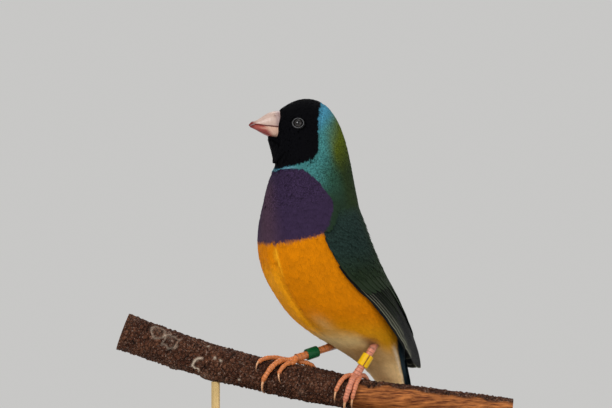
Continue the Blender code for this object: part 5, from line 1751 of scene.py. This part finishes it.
def leg_ring(name, node_name, leg, share, slit_towards, finish):
    """A band at a share of the shank's length, with its slit on the given side."""
    foot, ankle, way = shank_line(leg)
    low = foot + way * RING_FOOT
    middle = low + (ankle - low) * share
    front = unit(np.cross(way, np.array([0.0, -1.0, 0.0])))
    side = np.cross(way, front)
    slit = math.degrees(math.atan2(np.dot(slit_towards, side), np.dot(slit_towards, front)))
    turn = np.radians(slit + RING_SLIT / 2 + (360.0 - RING_SLIT) * np.linspace(0, 1, RING_TURNS))
    spoke = np.cos(turn)[:, None] * front + np.sin(turn)[:, None] * side
    profile = np.array(RING_PROFILE)
    radius = RING_INNER + (RING_OUTER - RING_INNER) * profile[:, 1]
    rings = (middle + spoke[:, None] * radius[None, :, None]
             + way * (profile[:, 0] * RING_LENGTH / 2)[None, :, None])
    made = joined(name, [(rings, np.ones((RING_TURNS, len(profile), 3)))], finish)
    made.data.set_sharp_from_angle(angle=math.radians(40.0))
    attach(made, "root")
    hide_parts(node_name)


leg_ring("leg_ring_yellow", "ring_yellow", LEGS["left"], 0.42, (0.3, -1.0, 0.1),
         ring_plastic("yellow_plastic", YELLOW_CLEAN, YELLOW_GRIMY))
leg_ring("leg_ring_green", "ring_green", LEGS["right"], 0.37, (-0.2, -0.2, -1.0),
         ring_plastic("green_plastic", GREEN_CLEAN, GREEN_GRIMY))


# The display stand: an oiled walnut plate with an eased edge, and two brass rods with collars
# that rise from it to the branch. Their solids stay, and get their finish here.

WALNUT_DARK, WALNUT_PALE = (0.045, 0.02, 0.01), (0.16, 0.075, 0.035)
BRASS_CLEAN, BRASS_TARNISHED, TARNISH_SHARE = (0.78, 0.56, 0.26), (0.5, 0.33, 0.13), 0.5


def walnut():
    made, tree, shader = new_material("oiled_walnut", 0.42, Specular_IOR_Level=0.5,
                                      Coat_Weight=0.2, Coat_Roughness=0.3)
    long_way = node(tree, "ShaderNodeMapping", {
        0: node(tree, "ShaderNodeTexCoord").outputs["Object"],
        "Scale": (0.1, 1.0, 1.0)}).outputs[0]
    grain = placed_noise(tree, long_way, 260.0, 7.0, 0.6, 0.6).outputs["Fac"]
    bands = placed_noise(tree, long_way, 60.0, 3.0, 0.5, 1.2).outputs["Fac"]
    colour = colour_mix(tree, ranged(tree, grain, 0.0, 1.0, 0.35, 0.68), WALNUT_DARK,
                        WALNUT_PALE)
    colour = scaled_colour(tree, colour, ranged(tree, bands, 0.6, 1.5, 0.3, 0.7))
    tree.links.new(colour, shader.inputs["Base Color"])
    tree.links.new(ranged(tree, grain, 0.32, 0.52), shader.inputs["Roughness"])
    embossed(tree, shader, grain, 0.25, 0.0002)
    return made


def brushed_brass():
    made, tree, shader = new_material("brushed_brass", 0.3, Metallic=1.0)
    upright = node(tree, "ShaderNodeMapping", {
        0: node(tree, "ShaderNodeTexCoord").outputs["Object"],
        "Scale": (0.15, 0.15, 1.0)}).outputs[0]
    lines = placed_noise(tree, upright, 6000.0).outputs["Fac"]
    tarnish = mottling(tree, 180.0, 0.0, 1.0)
    share = math_node(tree, "MULTIPLY", tarnish.outputs["Factor"], TARNISH_SHARE, clamp=True)
    tree.links.new(colour_mix(tree, share, BRASS_CLEAN, BRASS_TARNISHED),
                   shader.inputs["Base Color"])
    tree.links.new(ranged(tree, lines, 0.2, 0.42), shader.inputs["Roughness"])
    embossed(tree, shader, lines, 0.12, 0.00005)
    return made


walnut_finish, brass_finish = walnut(), brushed_brass()
for node_name, finish in (("stand_base", walnut_finish), ("stand_rod_1", brass_finish),
                          ("stand_rod_2", brass_finish)):
    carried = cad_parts[node_name]
    carried.data.materials.clear()
    carried.data.materials.append(finish)


# The studio: a plain pale floor that fades into the pale surroundings, soft light from large
# panels, and a long lens where the photograph's camera stood.

PHOTO_SCALE = 2.9
PHOTO_LEFT, PHOTO_FLOOR = 320.0, 505.0
PHOTO_SIZE = (612, 408)
CAMERA_AWAY = 2.0
PAPER, PAPER_GLOW = (0.9, 0.895, 0.88), 0.64
# How far off the floor fades into the surroundings, in metres, and its rings in millimetres
FLOOR_FADE, FLOOR_RADII, FLOOR_SIDES = (0.25, 0.85), (1.0, 300.0, 900.0, 20000.0), 64
AIM = Vector((0.0, 0.0, 0.09))

world = bpy.data.worlds.new("pale surroundings")
world.use_nodes = True
world.node_tree.nodes["Background"].inputs["Color"].default_value = (*PAPER, 1.0)
world.node_tree.nodes["Background"].inputs["Strength"].default_value = PAPER_GLOW
bpy.context.scene.world = world

floor_finish, floor_tree, floor_shader = new_material("pale_floor", 0.8)
floor_shader.inputs["Base Color"].default_value = (*PAPER, 1.0)
floor_place = node(floor_tree, "ShaderNodeTexCoord")
floor_far = node(floor_tree, "ShaderNodeVectorMath", {0: floor_place.outputs["Object"]},
                 operation="LENGTH")
floor_fade = node(floor_tree, "ShaderNodeMapRange", {
    "Value": floor_far.outputs["Value"], "From Min": FLOOR_FADE[0],
    "From Max": FLOOR_FADE[1]},
    interpolation_type="SMOOTHSTEP")
floor_glow = node(floor_tree, "ShaderNodeEmission", {
    "Color": (*PAPER, 1.0), "Strength": PAPER_GLOW})
floor_mix = node(floor_tree, "ShaderNodeMixShader", {
    0: floor_fade.outputs[0], 1: floor_shader.outputs[0], 2: floor_glow.outputs[0]})
floor_tree.links.new(floor_mix.outputs[0], floor_tree.nodes["Material Output"].inputs[0])
around = np.linspace(0, 2 * math.pi, FLOOR_SIDES, endpoint=False)
floor_rings = np.array([
    np.stack([radius * np.cos(around), radius * np.sin(around), 0 * around], -1)
    for radius in FLOOR_RADII])
floor_loops, floor_sizes = tube_faces(len(FLOOR_RADII), FLOOR_SIDES, caps=False)
floor_loops = np.concatenate([floor_loops, np.arange(FLOOR_SIDES)])
floor = new_mesh("floor", floor_rings.reshape(-1, 3), floor_loops,
                 np.append(floor_sizes, FLOOR_SIDES), floor_finish)

for label, place, size, power in (
    ("key panel", (-0.5, -1.05, 0.95), 0.7, 12.0),
    ("fill panel", (0.95, -0.8, 0.45), 0.9, 3.0),
    ("top panel", (0.1, 0.55, 0.95), 0.8, 4.5),
):
    panel = bpy.data.lights.new(label, "AREA")
    panel.shape, panel.size, panel.energy = "DISK", size, power
    lamp = bpy.data.objects.new(label, panel)
    lamp.location = place
    lamp.rotation_euler = (AIM - Vector(place)).to_track_quat("-Z", "Y").to_euler()
    bpy.context.scene.collection.objects.link(lamp)

lens = bpy.data.cameras.new("camera")
view_width = PHOTO_SIZE[0] / PHOTO_SCALE * MM
lens.lens = lens.sensor_width * CAMERA_AWAY / view_width
lens.clip_start, lens.clip_end = 0.05, 60.0
camera = bpy.data.objects.new("camera", lens)
camera.location = (
    (PHOTO_SIZE[0] / 2 - PHOTO_LEFT) / PHOTO_SCALE * MM,
    -CAMERA_AWAY,
    (PHOTO_FLOOR - PHOTO_SIZE[1] / 2) / PHOTO_SCALE * MM,
)
camera.rotation_euler = (math.radians(90.0), 0.0, 0.0)
bpy.context.scene.collection.objects.link(camera)
bpy.context.scene.camera = camera
bpy.context.scene.view_settings.view_transform = "Standard"
